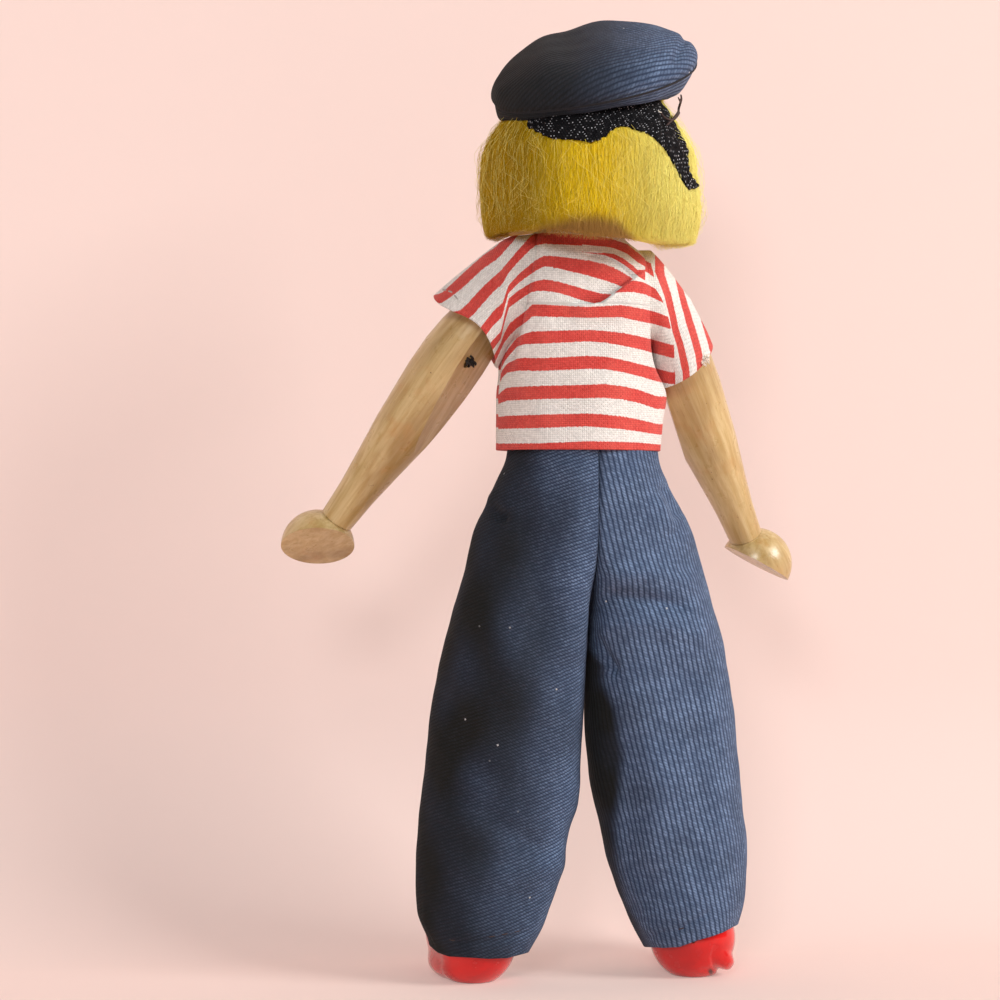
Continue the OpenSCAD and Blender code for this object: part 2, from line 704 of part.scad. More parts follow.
// The hem is lifted over the shoe, towards this direction
lift_turn = -72;
hem_lift = 1.6 * heel_r;
trouser_fold = 0.35;
function trouser_ring(p, inset) = [
    for (i = [0:trouser_sides - 1])
        let (
            t = 360 * i / trouser_sides,
            c = cos(t),
            s = sin(t),
            wave = trouser_fold * pow(1 - p[0], 2) * cos(5 * t + 20),
            lift = hem_lift * pow(max(cos(t - lift_turn), 0), 0.6) * pow(1 - p[0], 3),
            x = sign(c) * pow(abs(c), c < 0 ? p[4] : 1),
            y = sign(s) * pow(abs(s), c < 0 ? sqrt(p[4]) : 1))
        [
            p[1] * hip_x + p[2] * trouser_half_w + (p[2] * trouser_half_w + wave - inset) * x,
            (p[3] * trouser_half_d + wave - inset) * y,
            hem_z + p[0] * (leg_top_z - hem_z) + lift]];
module trouser_leg() {
    color(denim)
    skin([for (p = trouser_shares) trouser_ring(p, 0)],
        [for (p = trouser_shares) trouser_ring(p, trouser_wall)], true, false);
}

// Elastic in the top of the trousers
elastic_h = 2.4;
module waist_elastic() {
    placed()
    color(pale_wood)
    translate([0, 0, waist_z - elastic_h - 2 * cloth_gap])
    difference() {
        cylinder(r = torso_r + 3 * seam_gap, h = elastic_h);
        translate([0, 0, -over])
        cylinder(r = torso_r + glue_gap, h = elastic_h + 2 * over);
    }
}

module left_arm() {
    placed()
    color(wood)
    at_shoulder(left_swing, left_spread, left_shoulder_x)
    arm_body(-left_roll);
}
module right_arm() {
    placed()
    color(wood)
    mirror([1, 0, 0])
    at_shoulder(right_swing, right_spread, right_shoulder_x)
    arm_body(-right_roll);
}
module left_arm_pin() {
    placed()
    color(steel)
    at_shoulder(left_swing, left_spread, left_shoulder_x)
    arm_pin();
}
module right_arm_pin() {
    placed()
    color(steel)
    mirror([1, 0, 0])
    at_shoulder(right_swing, right_spread, right_shoulder_x)
    arm_pin();
}
module left_arm_knot() {
    placed()
    at_shoulder(left_swing, left_spread, left_shoulder_x)
    arm_knot();
}
module right_arm_knot() {
    placed()
    mirror([1, 0, 0])
    at_shoulder(right_swing, right_spread, right_shoulder_x)
    arm_knot();
}
module left_cord_end() {
    placed()
    at_shoulder(left_swing, 0, left_shoulder_x)
    cord_end(left_shoulder_x);
}
module right_cord_end() {
    placed()
    mirror([1, 0, 0])
    at_shoulder(right_swing, 0, right_shoulder_x)
    cord_end(right_shoulder_x);
}
module left_leg() { placed() leg_body(); }
module right_leg() { placed() mirror([1, 0, 0]) leg_body(); }
module left_shoe() { placed() shoe_body(false); }
module right_shoe() { placed() mirror([1, 0, 0]) shoe_body(true); }
module shirt_back() { placed() shirt_panel(false); }
module shirt_front() { placed() shirt_panel(true); }
module left_sleeve() {
    placed()
    sleeve(left_sleeve_x, left_sleeve_aim, left_way_aim, left_sleeve_reach, left_sleeve_mouth, left_swing);
}
module right_sleeve() {
    placed()
    mirror([1, 0, 0])
    sleeve(right_sleeve_x, right_sleeve_aim, right_way_aim, right_sleeve_reach, right_sleeve_mouth, right_swing);
}
module left_trouser_seat() { placed() trouser_seat(shirt_off / 2); }
module right_trouser_seat() { placed() mirror([1, 0, 0]) trouser_seat(-shirt_off / 2); }
module left_trouser_leg() { placed() trouser_leg(); }
module right_trouser_leg() { placed() mirror([1, 0, 0]) trouser_leg(); }

torso();
neck_dowel();
shoulder_cord();
hip_peg();
head();
wig();
cap_top();
cap_underside();
cap_band();
ribbon_band();
ribbon_tail();
left_cord_end();
left_arm_pin();
left_arm();
left_arm_knot();
right_cord_end();
right_arm_pin();
right_arm();
right_arm_knot();
left_leg();
right_leg();
left_shoe();
right_shoe();
shirt_back();
shirt_front();
left_sleeve();
right_sleeve();
left_trouser_seat();
right_trouser_seat();
left_trouser_leg();
right_trouser_leg();
waist_elastic();
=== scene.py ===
"""Looks of the peg wooden doll in sailor dress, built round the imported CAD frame."""

import math
import bpy
import numpy as np
from mathutils import Matrix, Vector


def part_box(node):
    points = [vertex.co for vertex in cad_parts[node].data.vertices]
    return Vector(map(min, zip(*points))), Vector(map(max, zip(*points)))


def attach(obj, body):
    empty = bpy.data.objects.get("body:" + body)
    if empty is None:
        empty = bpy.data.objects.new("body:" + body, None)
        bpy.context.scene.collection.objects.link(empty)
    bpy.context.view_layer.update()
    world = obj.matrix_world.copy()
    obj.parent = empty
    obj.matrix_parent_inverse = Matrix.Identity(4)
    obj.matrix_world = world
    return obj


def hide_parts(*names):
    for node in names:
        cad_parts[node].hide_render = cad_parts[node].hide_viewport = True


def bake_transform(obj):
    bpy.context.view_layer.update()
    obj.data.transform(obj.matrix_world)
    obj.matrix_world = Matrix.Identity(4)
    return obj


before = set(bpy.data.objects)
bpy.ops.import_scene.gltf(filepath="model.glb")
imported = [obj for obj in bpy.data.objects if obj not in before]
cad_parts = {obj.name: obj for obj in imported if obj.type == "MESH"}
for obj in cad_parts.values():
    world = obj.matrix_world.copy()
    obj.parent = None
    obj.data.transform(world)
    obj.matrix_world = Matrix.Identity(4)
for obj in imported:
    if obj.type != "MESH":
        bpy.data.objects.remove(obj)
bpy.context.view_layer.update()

MM = 0.001

# Doll-centred millimetres: the hip peg lies on the doll's axis
peg_low, peg_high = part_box("hip_peg")
SHIFT = np.array([(peg_low[0] + peg_high[0]) / 2, (peg_low[1] + peg_high[1]) / 2, 0.0])


def row(p):
    """Doll-centred millimetres to the row frame in metres."""
    return np.asarray(p, float) * MM + SHIFT


# Measures of the doll that several pieces share, in mm
HEAD_X, HEAD_R, HEAD_Z = -0.9, 17.0, 165.0
SHOULDER_Z, HIP_X, HIP_Z = 135.5, 10.9, 89.0
ARM_R = 7.1
SIDES = {1: "left", -1: "right"}

# Camera: its distance and height in mm, pixels to a mm at the doll's axis, the column of that axis at
# the floor, the middle row, and the columns that the axis moves for each mm of height
VIEW_YAW = math.radians(10)
FAR, EYE_Z, PX_MM = 500.0, 95.0, 5.0
AXIS_U, MIDDLE_V, LEAN_U = 585.0, 500.0, 0.03
TOWARD = np.array([math.sin(VIEW_YAW), math.cos(VIEW_YAW), 0.0])
RIGHT = np.array([-math.cos(VIEW_YAW), math.sin(VIEW_YAW), 0.0])
camera_data = bpy.data.cameras.new("camera")
camera_data.lens = 90
camera_data.sensor_width = 36
camera_data.clip_start = 0.01
camera = bpy.data.objects.new("camera", camera_data)
bpy.context.scene.collection.objects.link(camera)
sideways = (AXIS_U - MIDDLE_V) / PX_MM
spot = SHIFT + MM * (FAR * TOWARD - sideways * RIGHT + np.array([0, 0, EYE_Z]))
roll = math.atan(LEAN_U / PX_MM)
up = np.array([0, 0, 1.0]) * math.cos(roll) - RIGHT * math.sin(roll)
side = np.cross(up, TOWARD)
turn = Matrix([[side[i], up[i], TOWARD[i], spot[i]] for i in range(3)] + [[0, 0, 0, 1]])
camera.matrix_world = turn
bpy.context.scene.camera = camera

# The camera sees the doll at this yaw. Pixel of a point, and point of a pixel at a known depth
AXIS_YAW = math.radians(12)
CU, SU = math.cos(AXIS_YAW), math.sin(AXIS_YAW)


def pixel(p):
    """Place of doll-centred points in the 1000 by 1000 picture."""
    p = np.asarray(p, float)
    r = -CU * p[..., 0] + SU * p[..., 1]
    t = SU * p[..., 0] + CU * p[..., 1]
    z = p[..., 2]
    s = FAR / (FAR - t)
    return np.stack([AXIS_U + LEAN_U * z + PX_MM * r * s, MIDDLE_V + PX_MM * (EYE_Z - z) * s], -1)


def on_round(u, v, radius):
    """Point seen at a pixel on a form round the head's axis: radius is a function of height and angle."""
    u, v = np.asarray(u, float), np.asarray(v, float)
    r0, t0 = -CU * HEAD_X, SU * HEAD_X
    # The first guess of how far the point stands towards the camera is mended step by step
    t = np.full(u.shape, 20.0)
    for _ in range(8):
        s = FAR / (FAR - t)
        z = EYE_Z + (MIDDLE_V - v) / (PX_MM * s)
        r = (u - AXIS_U - LEAN_U * z) / (PX_MM * s)
        big = radius(z, np.arctan2(SU * r + CU * t, SU * t - CU * r - HEAD_X))
        t = t0 + np.sqrt(np.maximum(big**2 - (r - r0) ** 2, 0.04))
    over = np.abs(r - r0) > big
    r = np.where(over, r0 + np.sign(r - r0) * big, r)
    return np.stack([-CU * r + SU * t, SU * r + CU * t, z], -1)


# Small tools
def srgb(r, g, b):
    """Colour as it looks on a screen, 0 to 255, to a linear colour."""
    c = [x / 255 for x in (r, g, b)]
    return tuple(x / 12.92 if x <= 0.04045 else ((x + 0.055) / 1.055) ** 2.4 for x in c) + (1,)


def through(xs, ys, x):
    """Smooth curve through the points (xs, ys), at x. xs may fall or rise."""
    xs, ys, x = np.asarray(xs, float), np.asarray(ys, float), np.asarray(x, float)
    order = np.argsort(xs)
    xs, ys = xs[order], ys[order]
    slope = np.gradient(ys, xs, axis=0)
    i = np.clip(np.searchsorted(xs, x, side="right") - 1, 0, len(xs) - 2)
    width = xs[i + 1] - xs[i]
    t = np.clip((x - xs[i]) / width, 0, 1)
    if ys.ndim > 1:
        t, width = t[..., None], width[..., None]
    a, b = ys[i], ys[i + 1]
    da, db = slope[i] * width, slope[i + 1] * width
    return (
        (2 * t**3 - 3 * t**2 + 1) * a + (t**3 - 2 * t**2 + t) * da
        + (3 * t**2 - 2 * t**3) * b + (t**3 - t**2) * db
    )


def ease(a, b, x):
    t = np.clip((np.asarray(x, float) - a) / (b - a), 0, 1)
    return t * t * (3 - 2 * t)


def power(x, e):
    return np.sign(x) * np.abs(x) ** e


def unit(v):
    """Vectors made 1 long."""
    return v / np.maximum(np.linalg.norm(v, axis=-1, keepdims=True), 1e-9)


def walked(points, axis=0):
    """Distance from the start of a line of points, or along one axis of a grid of points."""
    step = np.linalg.norm(np.diff(points, axis=axis), axis=-1)
    return np.concatenate([0 * step.take([0], axis), np.cumsum(step, axis=axis)], axis)


def turned_in(ring, middle, steps):
    """Copies of an edge, moved towards a middle and up, by the steps in mm."""
    inward = unit((middle - ring) * [1, 1, 0])
    return np.array([ring + a * inward + [0, 0, b] for a, b in steps])


def grid_faces(rows, cols, wrap=True, start=0):
    j, i = np.meshgrid(np.arange(rows - 1), np.arange(cols if wrap else cols - 1), indexing="ij")
    k = (i + 1) % cols
    corners = [j * cols + i, j * cols + k, (j + 1) * cols + k, (j + 1) * cols + i]
    return np.stack(corners, -1).reshape(-1, 4) + start


def grid_uv(uv):
    """Corner coordinates of grid_faces, from uv given at each point, with one more column if it wraps."""
    rows, cols = uv.shape[0], uv.shape[1]
    j, i = np.meshgrid(np.arange(rows - 1), np.arange(cols - 1), indexing="ij")
    return np.stack([uv[j, i], uv[j, i + 1], uv[j + 1, i + 1], uv[j + 1, i]], -2).reshape(-1, 2)


def grid_normals(p):
    """Unit normals of a closed grid of points, pointing away from the middle of its rows."""
    n = unit(np.cross(np.roll(p, -1, 1) - np.roll(p, 1, 1), np.gradient(p, axis=0)))
    out = p - p.mean(1, keepdims=True)
    return n * np.where((n * out).sum(-1).mean() < 0, -1, 1)


def make(name, verts, faces, material, uv=None, values=None):
    """A mesh object from doll-centred millimetres."""
    faces = np.asarray(faces)
    me = bpy.data.meshes.new(name)
    me.vertices.add(len(verts))
    me.vertices.foreach_set("co", row(verts).astype(np.float32).ravel())
    me.loops.add(faces.size)
    me.loops.foreach_set("vertex_index", faces.astype(np.int32).ravel())
    me.polygons.add(len(faces))
    me.polygons.foreach_set("loop_start", np.arange(0, faces.size, faces.shape[1], dtype=np.int32))
    me.polygons.foreach_set("use_smooth", np.full(len(faces), True))
    me.update(calc_edges=True)
    if uv is not None:
        me.uv_layers.new(name="cloth").data.foreach_set("uv", np.asarray(uv, np.float32).ravel())
    for key, value in (values or {}).items():
        layer = me.attributes.new(key, "FLOAT", "POINT").data
        layer.foreach_set("value", np.asarray(value, np.float32).ravel())
    me.materials.append(material)
    o = bpy.data.objects.new(name, me)
    bpy.context.scene.collection.objects.link(o)
    return o


def outward(faces, verts, centre, corner=None):
    """The faces, and their corners' values, turned so that they look away from the centre on average."""
    a, b, c = (verts[faces[:, k]] for k in range(3))
    n = np.cross(b - a, c - a)
    if (n * (a - centre)).sum() < 0:
        return faces[:, ::-1], None if corner is None else corner[:, ::-1]
    return faces, corner


def thicken(o, thickness):
    """Gives a sheet its thickness in mm, on its inside."""
    m = o.modifiers.new("thickness", "SOLIDIFY")
    m.thickness, m.offset = thickness * MM, -1
    return o


def skin(name, p, material, uv, values=None, thickness=0.3, keep=None):
    """A cloth sheet from a grid of points, with its thickness inside it."""
    rows, cols = p.shape[:2]
    faces, corner = grid_faces(rows, cols), grid_uv(uv).reshape(-1, 4, 2)
    verts = p.reshape(-1, 3)
    values = {key: np.asarray(value).reshape(-1) for key, value in (values or {}).items()}
    faces, corner = outward(faces, verts, verts.mean(0), corner)
    if keep is not None:
        held = keep.reshape(-1)[faces].all(1)
        faces, corner = faces[held], corner[held]
        used = np.unique(faces)
        renumber = np.zeros(len(verts), int)
        renumber[used] = np.arange(len(used))
        verts, faces = verts[used], renumber[faces]
        values = {key: value[used] for key, value in values.items()}
    return thicken(make(name, verts, faces, material, corner, values), thickness)


def tubes(name, lines, radius, material, sides=6):
    """One mesh of tubes along lines of doll-centred points, with tapered ends."""
    verts, quads, total = [], [], 0
    a = 2 * np.pi * np.arange(sides) / sides
    for line in lines:
        line = np.asarray(line, float)
        n = len(line)
        along = unit(np.gradient(line, axis=0))
        # Any fixed way will do that no line runs along
        e1 = unit(np.cross(along, [0.31, 0.17, 0.93]))
        e2 = np.cross(along, e1)
        w = np.linspace(0, 1, n)
        wide = radius * np.sqrt(np.clip(4 * w * (1 - w) + 0.25, 0, 1))[:, None, None]
        ring = line[:, None] + wide * (np.cos(a)[:, None] * e1[:, None] + np.sin(a)[:, None] * e2[:, None])
        verts.append(ring.reshape(-1, 3))
        quads.append(grid_faces(n, sides, start=total))
        total += n * sides
    return make(name, np.vstack(verts), np.vstack(quads), material)


def at(points, x):
    """Height of a line of places at x."""
    return np.interp(x, [q[0] for q in points], [q[1] for q in points])


def along_line(px, line):
    """Distance in pixels from a line, its side, + on the left going along it, and the share along it."""
    line = np.asarray(line, float)
    step = np.linalg.norm(np.diff(line, axis=0), axis=1)
    start = np.concatenate([[0], np.cumsum(step)])
    shape = px.shape[:-1]
    best, side, share = np.full(shape, np.inf), np.ones(shape), np.zeros(shape)
    for k in range(len(step)):
        d = line[k + 1] - line[k]
        t = np.clip(((px - line[k]) @ d) / (d @ d), 0, 1)
        off = px - (line[k] + t[..., None] * d)
        far = np.linalg.norm(off, axis=-1)
        closer = far < best
        cross = d[0] * off[..., 1] - d[1] * off[..., 0]
        best = np.where(closer, far, best)
        side = np.where(closer, np.where(cross < 0, 1.0, -1.0), side)
        share = np.where(closer, (start[k] + t * step[k]) / start[-1], share)
    return best, side, share


def crease(px, line, depth, width):
    """Height in mm of a soft ridge or groove along a line of pixels."""
    return depth * np.exp(-((along_line(px, line)[0] / width) ** 2))


def fold(px, line, high, low, wide_high, wide_low):
    """Height in mm of a folded edge: cloth on the left of the line stands over a groove on its right."""
    d, side, share = along_line(px, line)
    ends = ease(0, 0.2, share) * ease(1, 0.8, share)
    return np.where(side > 0, high * np.exp(-d / wide_high), -low * np.exp(-d / wide_low)) * ends


def seen_at(p, spots, lift=0.0):
    """Points of a grid that the camera sees at the given pixels, lifted off it in mm."""
    n = grid_normals(p)
    hidden = (n @ TOWARD).reshape(-1) < 0.05
    px = pixel(p).reshape(-1, 2)
    flat, normals = p.reshape(-1, 3), n.reshape(-1, 3)
    found = []
    for spot in np.asarray(spots, float):
        far = ((px - spot) ** 2).sum(1) + 1e6 * hidden
        near = np.argsort(far)[:3]
        weight = 1 / (far[near] + 0.01)
        weight = (weight / weight.sum())[:, None]
        found.append((weight * (flat[near] + lift * normals[near])).sum(0))
    return np.array(found)


def between_curves(across, along, curves, spacing):
    """Stripe number of places, from curves that give where each stripe lies across, by the way along."""
    lines = [at(points, along) for _, points in curves]
    number = curves[0][0] + (lines[0] - across) / spacing
    for k in range(len(lines) - 1):
        share = (lines[k] - across) / np.maximum(lines[k] - lines[k + 1], 1.0)
        reached = curves[k][0] + share * (curves[k + 1][0] - curves[k][0])
        number = np.where(across <= lines[k], reached, number)
    return np.where(across <= lines[-1], curves[-1][0] + (lines[-1] - across) / spacing, number)


def lumps(p, size, seed):
    """Smooth random heights from -1 to 1 over points, with hills about size mm apart."""
    made = np.random.default_rng(seed)
    total = np.zeros(p.shape[:-1])
    for _ in range(7):
        way = made.normal(size=3)
        way *= 2 * np.pi / (size * (0.7 + 0.9 * made.random())) / np.linalg.norm(way)
        total += np.sin(p @ way + made.random() * 6.28)
    return total / 3.2


# Materials
class Value:
    """Output of a shader node. Sums and products with it make further nodes."""

    def __init__(self, paint, socket):
        self.paint, self.socket = paint, socket

    def __add__(self, other):
        return self.paint.math("ADD", self, other)

    def __sub__(self, other):
        return self.paint.math("SUBTRACT", self, other)

    def __rsub__(self, other):
        return self.paint.math("SUBTRACT", other, self)

    def __mul__(self, other):
        return self.paint.math("MULTIPLY", self, other)

    def __truediv__(self, other):
        return self.paint.math("DIVIDE", self, other)


class Paint:
    """A material with a Principled shader and short calls for its nodes."""

    def __init__(self, name, roughness=0.5, **fixed):
        self.material = bpy.data.materials.new(name)
        self.material.use_nodes = True
        self.tree = self.material.node_tree
        self.tree.nodes.clear()
        self.out = self.tree.nodes.new("ShaderNodeOutputMaterial")
        self.shader = self.tree.nodes.new("ShaderNodeBsdfPrincipled")
        self.tree.links.new(self.shader.outputs[0], self.out.inputs[0])
        self.shader.inputs["Roughness"].default_value = roughness
        for key, value in fixed.items():
            self.shader.inputs[key.replace("_", " ")].default_value = value

    def put(self, socket, value):
        if isinstance(value, Value):
            self.tree.links.new(value.socket, socket)
        else:
            socket.default_value = value

    def node(self, kind, inputs=(), output=0, **settings):
        """One output of a new node."""
        n = self.tree.nodes.new(kind)
        for key, value in settings.items():
            setattr(n, key, value)
        for key, value in dict(inputs).items():
            self.put(n.inputs[key], value)
        return Value(self, n.outputs[output])

    def math(self, operation, *values):
        return self.node("ShaderNodeMath", enumerate(values), operation=operation)

    def floor(self, x):
        return self.math("FLOOR", x)

    def arch(self, x):
        """A half wave from each whole number to the next."""
        return self.math("SINE", self.math("FRACT", x) * math.pi)

    def split(self, vector):
        x = self.node("ShaderNodeSeparateXYZ", {0: vector})
        return [Value(self, socket) for socket in x.socket.node.outputs]

    def cloth(self):
        return self.split(self.node("ShaderNodeUVMap", uv_map="cloth"))[:2]

    def place(self):
        return self.node("ShaderNodeTexCoord", (), "Object")

    def join(self, x=0.0, y=0.0, z=0.0):
        return self.node("ShaderNodeCombineXYZ", {0: x, 1: y, 2: z})

    def scaled(self, vector, by, upright=None):
        """A place times one number, or times another along Z."""
        by = (by, by, by if upright is None else upright)
        return self.node("ShaderNodeVectorMath", {0: vector, 1: by}, operation="MULTIPLY")

    def noise(self, vector, scale=1.0, detail=2.0, rough=0.5, distortion=0.0):
        inputs = {
            "Vector": vector, "Scale": scale, "Detail": detail, "Roughness": rough, "Distortion": distortion}
        return self.node("ShaderNodeTexNoise", inputs)

    def random(self, vector):
        return self.node("ShaderNodeTexWhiteNoise", {"Vector": vector}, "Value", noise_dimensions="3D")

    def value(self, name):
        return self.node("ShaderNodeAttribute", (), "Fac", attribute_name=name)

    def between(self, x, low, high, out_low=0.0, out_high=1.0):
        inputs = {"Value": x, "From Min": low, "From Max": high, "To Min": out_low, "To Max": out_high}
        return self.node("ShaderNodeMapRange", inputs, interpolation_type="SMOOTHSTEP")

    def mix(self, share, a, b, blend="MIX"):
        inputs = {"Factor": share, 6: a, 7: b}
        return self.node("ShaderNodeMix", inputs, 2, data_type="RGBA", blend_type=blend)

    def colour(self, value):
        self.put(self.shader.inputs["Base Color"], value)

    def rough(self, value):
        self.put(self.shader.inputs["Roughness"], value)

    def bump(self, height, distance, strength=1.0):
        inputs = {"Height": height, "Distance": distance, "Strength": strength}
        self.put(self.shader.inputs["Normal"], self.node("ShaderNodeBump", inputs))


def striped_cotton():
    """Plain woven cotton with printed-in red stripes. The stripe's number comes with the mesh."""
    p = Paint("striped_cotton", 0.85, Sheen_Weight=0.1, Sheen_Roughness=0.5)
    x, y = p.cloth()
    flat = p.join(x, y)
    number = p.value("stripe_a")
    for other in ("b", "c"):
        cut_off = p.math("GREATER_THAN", p.value("cut_" + other), 0.0)
        number = number + cut_off * (p.value("stripe_" + other) - number)
    wander = p.noise(flat, 2.0, 3) - 0.5
    red = p.between(p.math("PINGPONG", number + wander * 0.08, 0.5), 0.215, 0.25, 1.0, 0.0)
    pitch = 0.41
    wave_x, wave_y = (p.math("SINE", way * (math.pi / pitch)) for way in (x, y))
    cross = p.math("ABSOLUTE", wave_x) * p.math("ABSOLUTE", wave_y)
    speck = p.random(p.join(p.floor(x / pitch), p.floor(y / pitch)))
    thick = p.noise(p.join(x * 0.7, y * 3.4), 1.0, 3)
    faded = p.noise(flat, 0.12, 3, 0.6)
    red_colour = p.mix(speck, srgb(200, 54, 48), srgb(214, 72, 64))
    red_colour = p.mix(p.between(faded, 0.35, 0.75, 0, 0.45), red_colour, srgb(224, 98, 84))
    white_colour = p.mix(speck, srgb(222, 222, 218), srgb(236, 236, 232))
    shade = p.between(cross, 0.0, 0.4, 0.78, 1.0) * p.between(thick + speck * 0.1, 0.3, 0.8, 0.9, 1.05)
    grey = p.node("ShaderNodeCombineColor", {0: shade, 1: shade, 2: shade})
    p.colour(p.mix(1.0, p.mix(red, white_colour, red_colour), grey, "MULTIPLY"))
    p.bump(wave_x * wave_y * 0.5 + (cross + thick * 0.8), 0.0001, 0.9)
    return p.material


def twill(name, ridge, chop, slant):
    """Ridged twill: light ridges of short floats over a dark ground. A value on the mesh paints light and
    shade: where it is high the cloth is lit, bluer and paler, where it is low it is in painted shade, near
    black.
    """
    p = Paint(name, 0.95, Sheen_Weight=0.02, Sheen_Roughness=0.5, Specular_IOR_Level=0.2)
    x, y = p.cloth()
    flat, tone_and_light = p.join(x, y), p.value("tone_and_light")
    across = (x + (p.noise(flat, 0.8, 4, 0.6) - 0.5) * 0.5) / ridge
    number, profile = p.floor(across), p.arch(across)
    step = y / 0.6 + across * slant + p.random(p.join(number, 3.0)) * 0.4
    low_dash = 1.0 - (1.0 - p.between(p.arch(step), 0.1, 0.85)) * chop
    wear_and_side_light = p.between(p.noise(flat, 0.2, 4, 0.65), 0.3, 0.7, 0.6, 1.0)
    bright = p.between(profile, 0.1, 1.0) * low_dash * wear_and_side_light
    bright = bright * p.between(p.random(p.join(number, p.floor(step))), 0.0, 1.0, 0.55, 1.0)
    # Painted light and shade: the ridges fade and the ground turns near black where the mesh's value is low,
    # and go bluer and paler where it is high
    bright = bright * p.between(tone_and_light, 0.0, 1.0, 0.13, 1.0)
    bright = bright * p.between(p.noise(flat, 5.0, 3, 0.7), 0.3, 0.7, 0.55, 1.15)
    ground = p.mix(tone_and_light, srgb(18, 19, 16), srgb(38, 50, 74))
    ground = p.mix(p.noise(flat, 3.2, 4), ground, p.mix(tone_and_light, srgb(28, 29, 27), srgb(56, 72, 100)))
    colour = p.mix(bright, ground, p.mix(tone_and_light, srgb(78, 88, 106), srgb(124, 148, 182)))
    lint = p.random(p.join(p.floor(x / 0.35), p.floor(y / 0.35), 5.0))
    p.colour(p.mix(p.between(lint, 0.99975, 0.9999, 0.0, 0.8), colour, srgb(186, 188, 190)))
    p.bump((profile * 0.9 + low_dash * 0.45) * p.between(tone_and_light, 0.0, 1.0, 0.5, 1.0), 0.00018, 0.85)
    return p.material


HONEY = (srgb(130, 94, 36), srgb(180, 152, 94), srgb(204, 182, 132))


def varnished_wood(name, along, colours=HONEY):
    """Varnish over turned wood whose grain runs along the given direction: its paint and its colour."""
    dark, mid, pale = colours
    p = Paint(name, 0.34, Coat_Weight=0.35, Coat_Roughness=0.22, Specular_IOR_Level=0.5)
    a = Vector(along).normalized()
    b = a.orthogonal().normalized()
    place = p.place()
    s, t, l = (
        p.node("ShaderNodeVectorMath", {0: place, 1: tuple(way)}, "Value", operation="DOT_PRODUCT")
        for way in (b, a.cross(b), a))

    def fibres(wide, long):
        return p.join(s * wide, t * wide, l * long)

    grain = p.noise(fibres(900.0, 60.0), 1.0, 4, 0.6, 0.4)
    blotch = p.noise(p.scaled(place, 160), 1.0, 4, 0.62)
    fine = p.noise(fibres(3200.0, 260.0), 1.0, 2)
    colour = p.mix(p.between(grain, 0.3, 0.7), mid, pale)
    colour = p.mix(p.between(p.noise(fibres(140.0, 28.0), 1.0, 3, 0.55), 0.42, 0.72, 0.0, 0.55), colour, dark)
    colour = p.mix(p.between(blotch, 0.52, 0.78, 0.0, 0.4), colour, srgb(184, 132, 70))
    colour = p.mix(p.between(fine, 0.66, 0.74) * 0.35, colour, srgb(120, 74, 30))
    speck = p.between(p.noise(p.scaled(place, 1500), 1.0, 1), 0.77, 0.8)
    colour = p.mix(speck * 0.7, colour, srgb(84, 50, 22))
    p.colour(colour)
    p.rough(p.between(p.noise(p.scaled(place, 420), 1.0, 4), 0.3, 0.7, 0.26, 0.46))
    p.bump(grain * 0.5 + blotch * 0.9 + fine * 0.3, 0.00022, 0.55)
    return p, colour


def simple(name, a, b, roughness, scale, bump=0.00005, **fixed):
    """Two close colours in fine noise, with a little relief."""
    p = Paint(name, roughness, **fixed)
    n = p.noise(p.scaled(p.place(), scale), 1.0, 4, 0.6)
    p.colour(p.mix(n, a, b))
    p.bump(n, bump, 0.6)
    return p.material


def plain_wood():
    p = Paint("plain_wood", 0.6)
    grain = p.noise(p.scaled(p.place(), 1300, 90), 1.0, 4, 0.6, 0.3)
    p.colour(p.mix(p.between(grain, 0.3, 0.7), srgb(214, 178, 128), srgb(236, 208, 162)))
    p.bump(grain, 0.0001, 0.5)
    return p.material


def red_gloss():
    p = Paint("red_gloss", 0.2, Coat_Weight=0.45, Coat_Roughness=0.06, Specular_IOR_Level=0.35)
    place = p.place()
    cloud = p.noise(p.scaled(place, 130), 1.0, 4, 0.6)
    colour = p.mix(p.between(cloud, 0.3, 0.75), srgb(212, 16, 12), srgb(184, 10, 12))
    scuff = p.between(p.noise(p.scaled(place, 700, 1500), 1.0, 3, 0.7), 0.68, 0.76)
    colour = p.mix(scuff * 0.35, colour, srgb(228, 120, 108))
    p.colour(p.mix(p.value("chip"), colour, srgb(40, 12, 10)))
    p.rough(p.between(p.noise(p.scaled(place, 260), 1.0, 3), 0.35, 0.7, 0.12, 0.3))
    p.bump(p.noise(p.scaled(place, 210), 1.0, 2) + scuff * 0.25, 0.0003, 0.35)
    return p.material


def mohair(name, strands):
    """Mohair with painted light: ochre as painted shade on the doll's left and pale lemon as painted light on
    its right; brown at the nape, where the hair is thin, partly as painted shade.
    """
    p = Paint(name, 0.55, Specular_IOR_Level=0.14)
    # Painted light and shade across the head: ochre on the doll's left, pale lemon on its right
    side = p.value("side")
    colour = p.mix(p.between(side, 0.0, 0.4), srgb(176, 138, 0), srgb(252, 224, 20))
    colour = p.mix(p.between(side, 0.5, 1.0), colour, srgb(240, 232, 134))
    if strands:
        tone_and_light = p.value("tone_and_light")
        colour = p.mix(p.between(tone_and_light, 0.5, 1.0, 0.0, 0.6), colour, srgb(255, 246, 150))
        colour = p.mix(p.between(tone_and_light, 0.5, 0.0, 0.0, 0.5), colour, srgb(190, 150, 8))
    else:
        streak = p.noise(p.scaled(p.place(), 2400, 160), 1.0, 4, 0.65)
        colour = p.mix(p.between(streak, 0.35, 0.7, 0.0, 0.35), colour, srgb(200, 160, 20))
        p.bump(streak, 0.0004, 0.9)
    # Brown at the nape, where the hair is thin over the wood, and partly painted shade under the bob
    p.colour(p.mix(p.value("nape"), colour, srgb(178, 134, 82)))
    return p.material


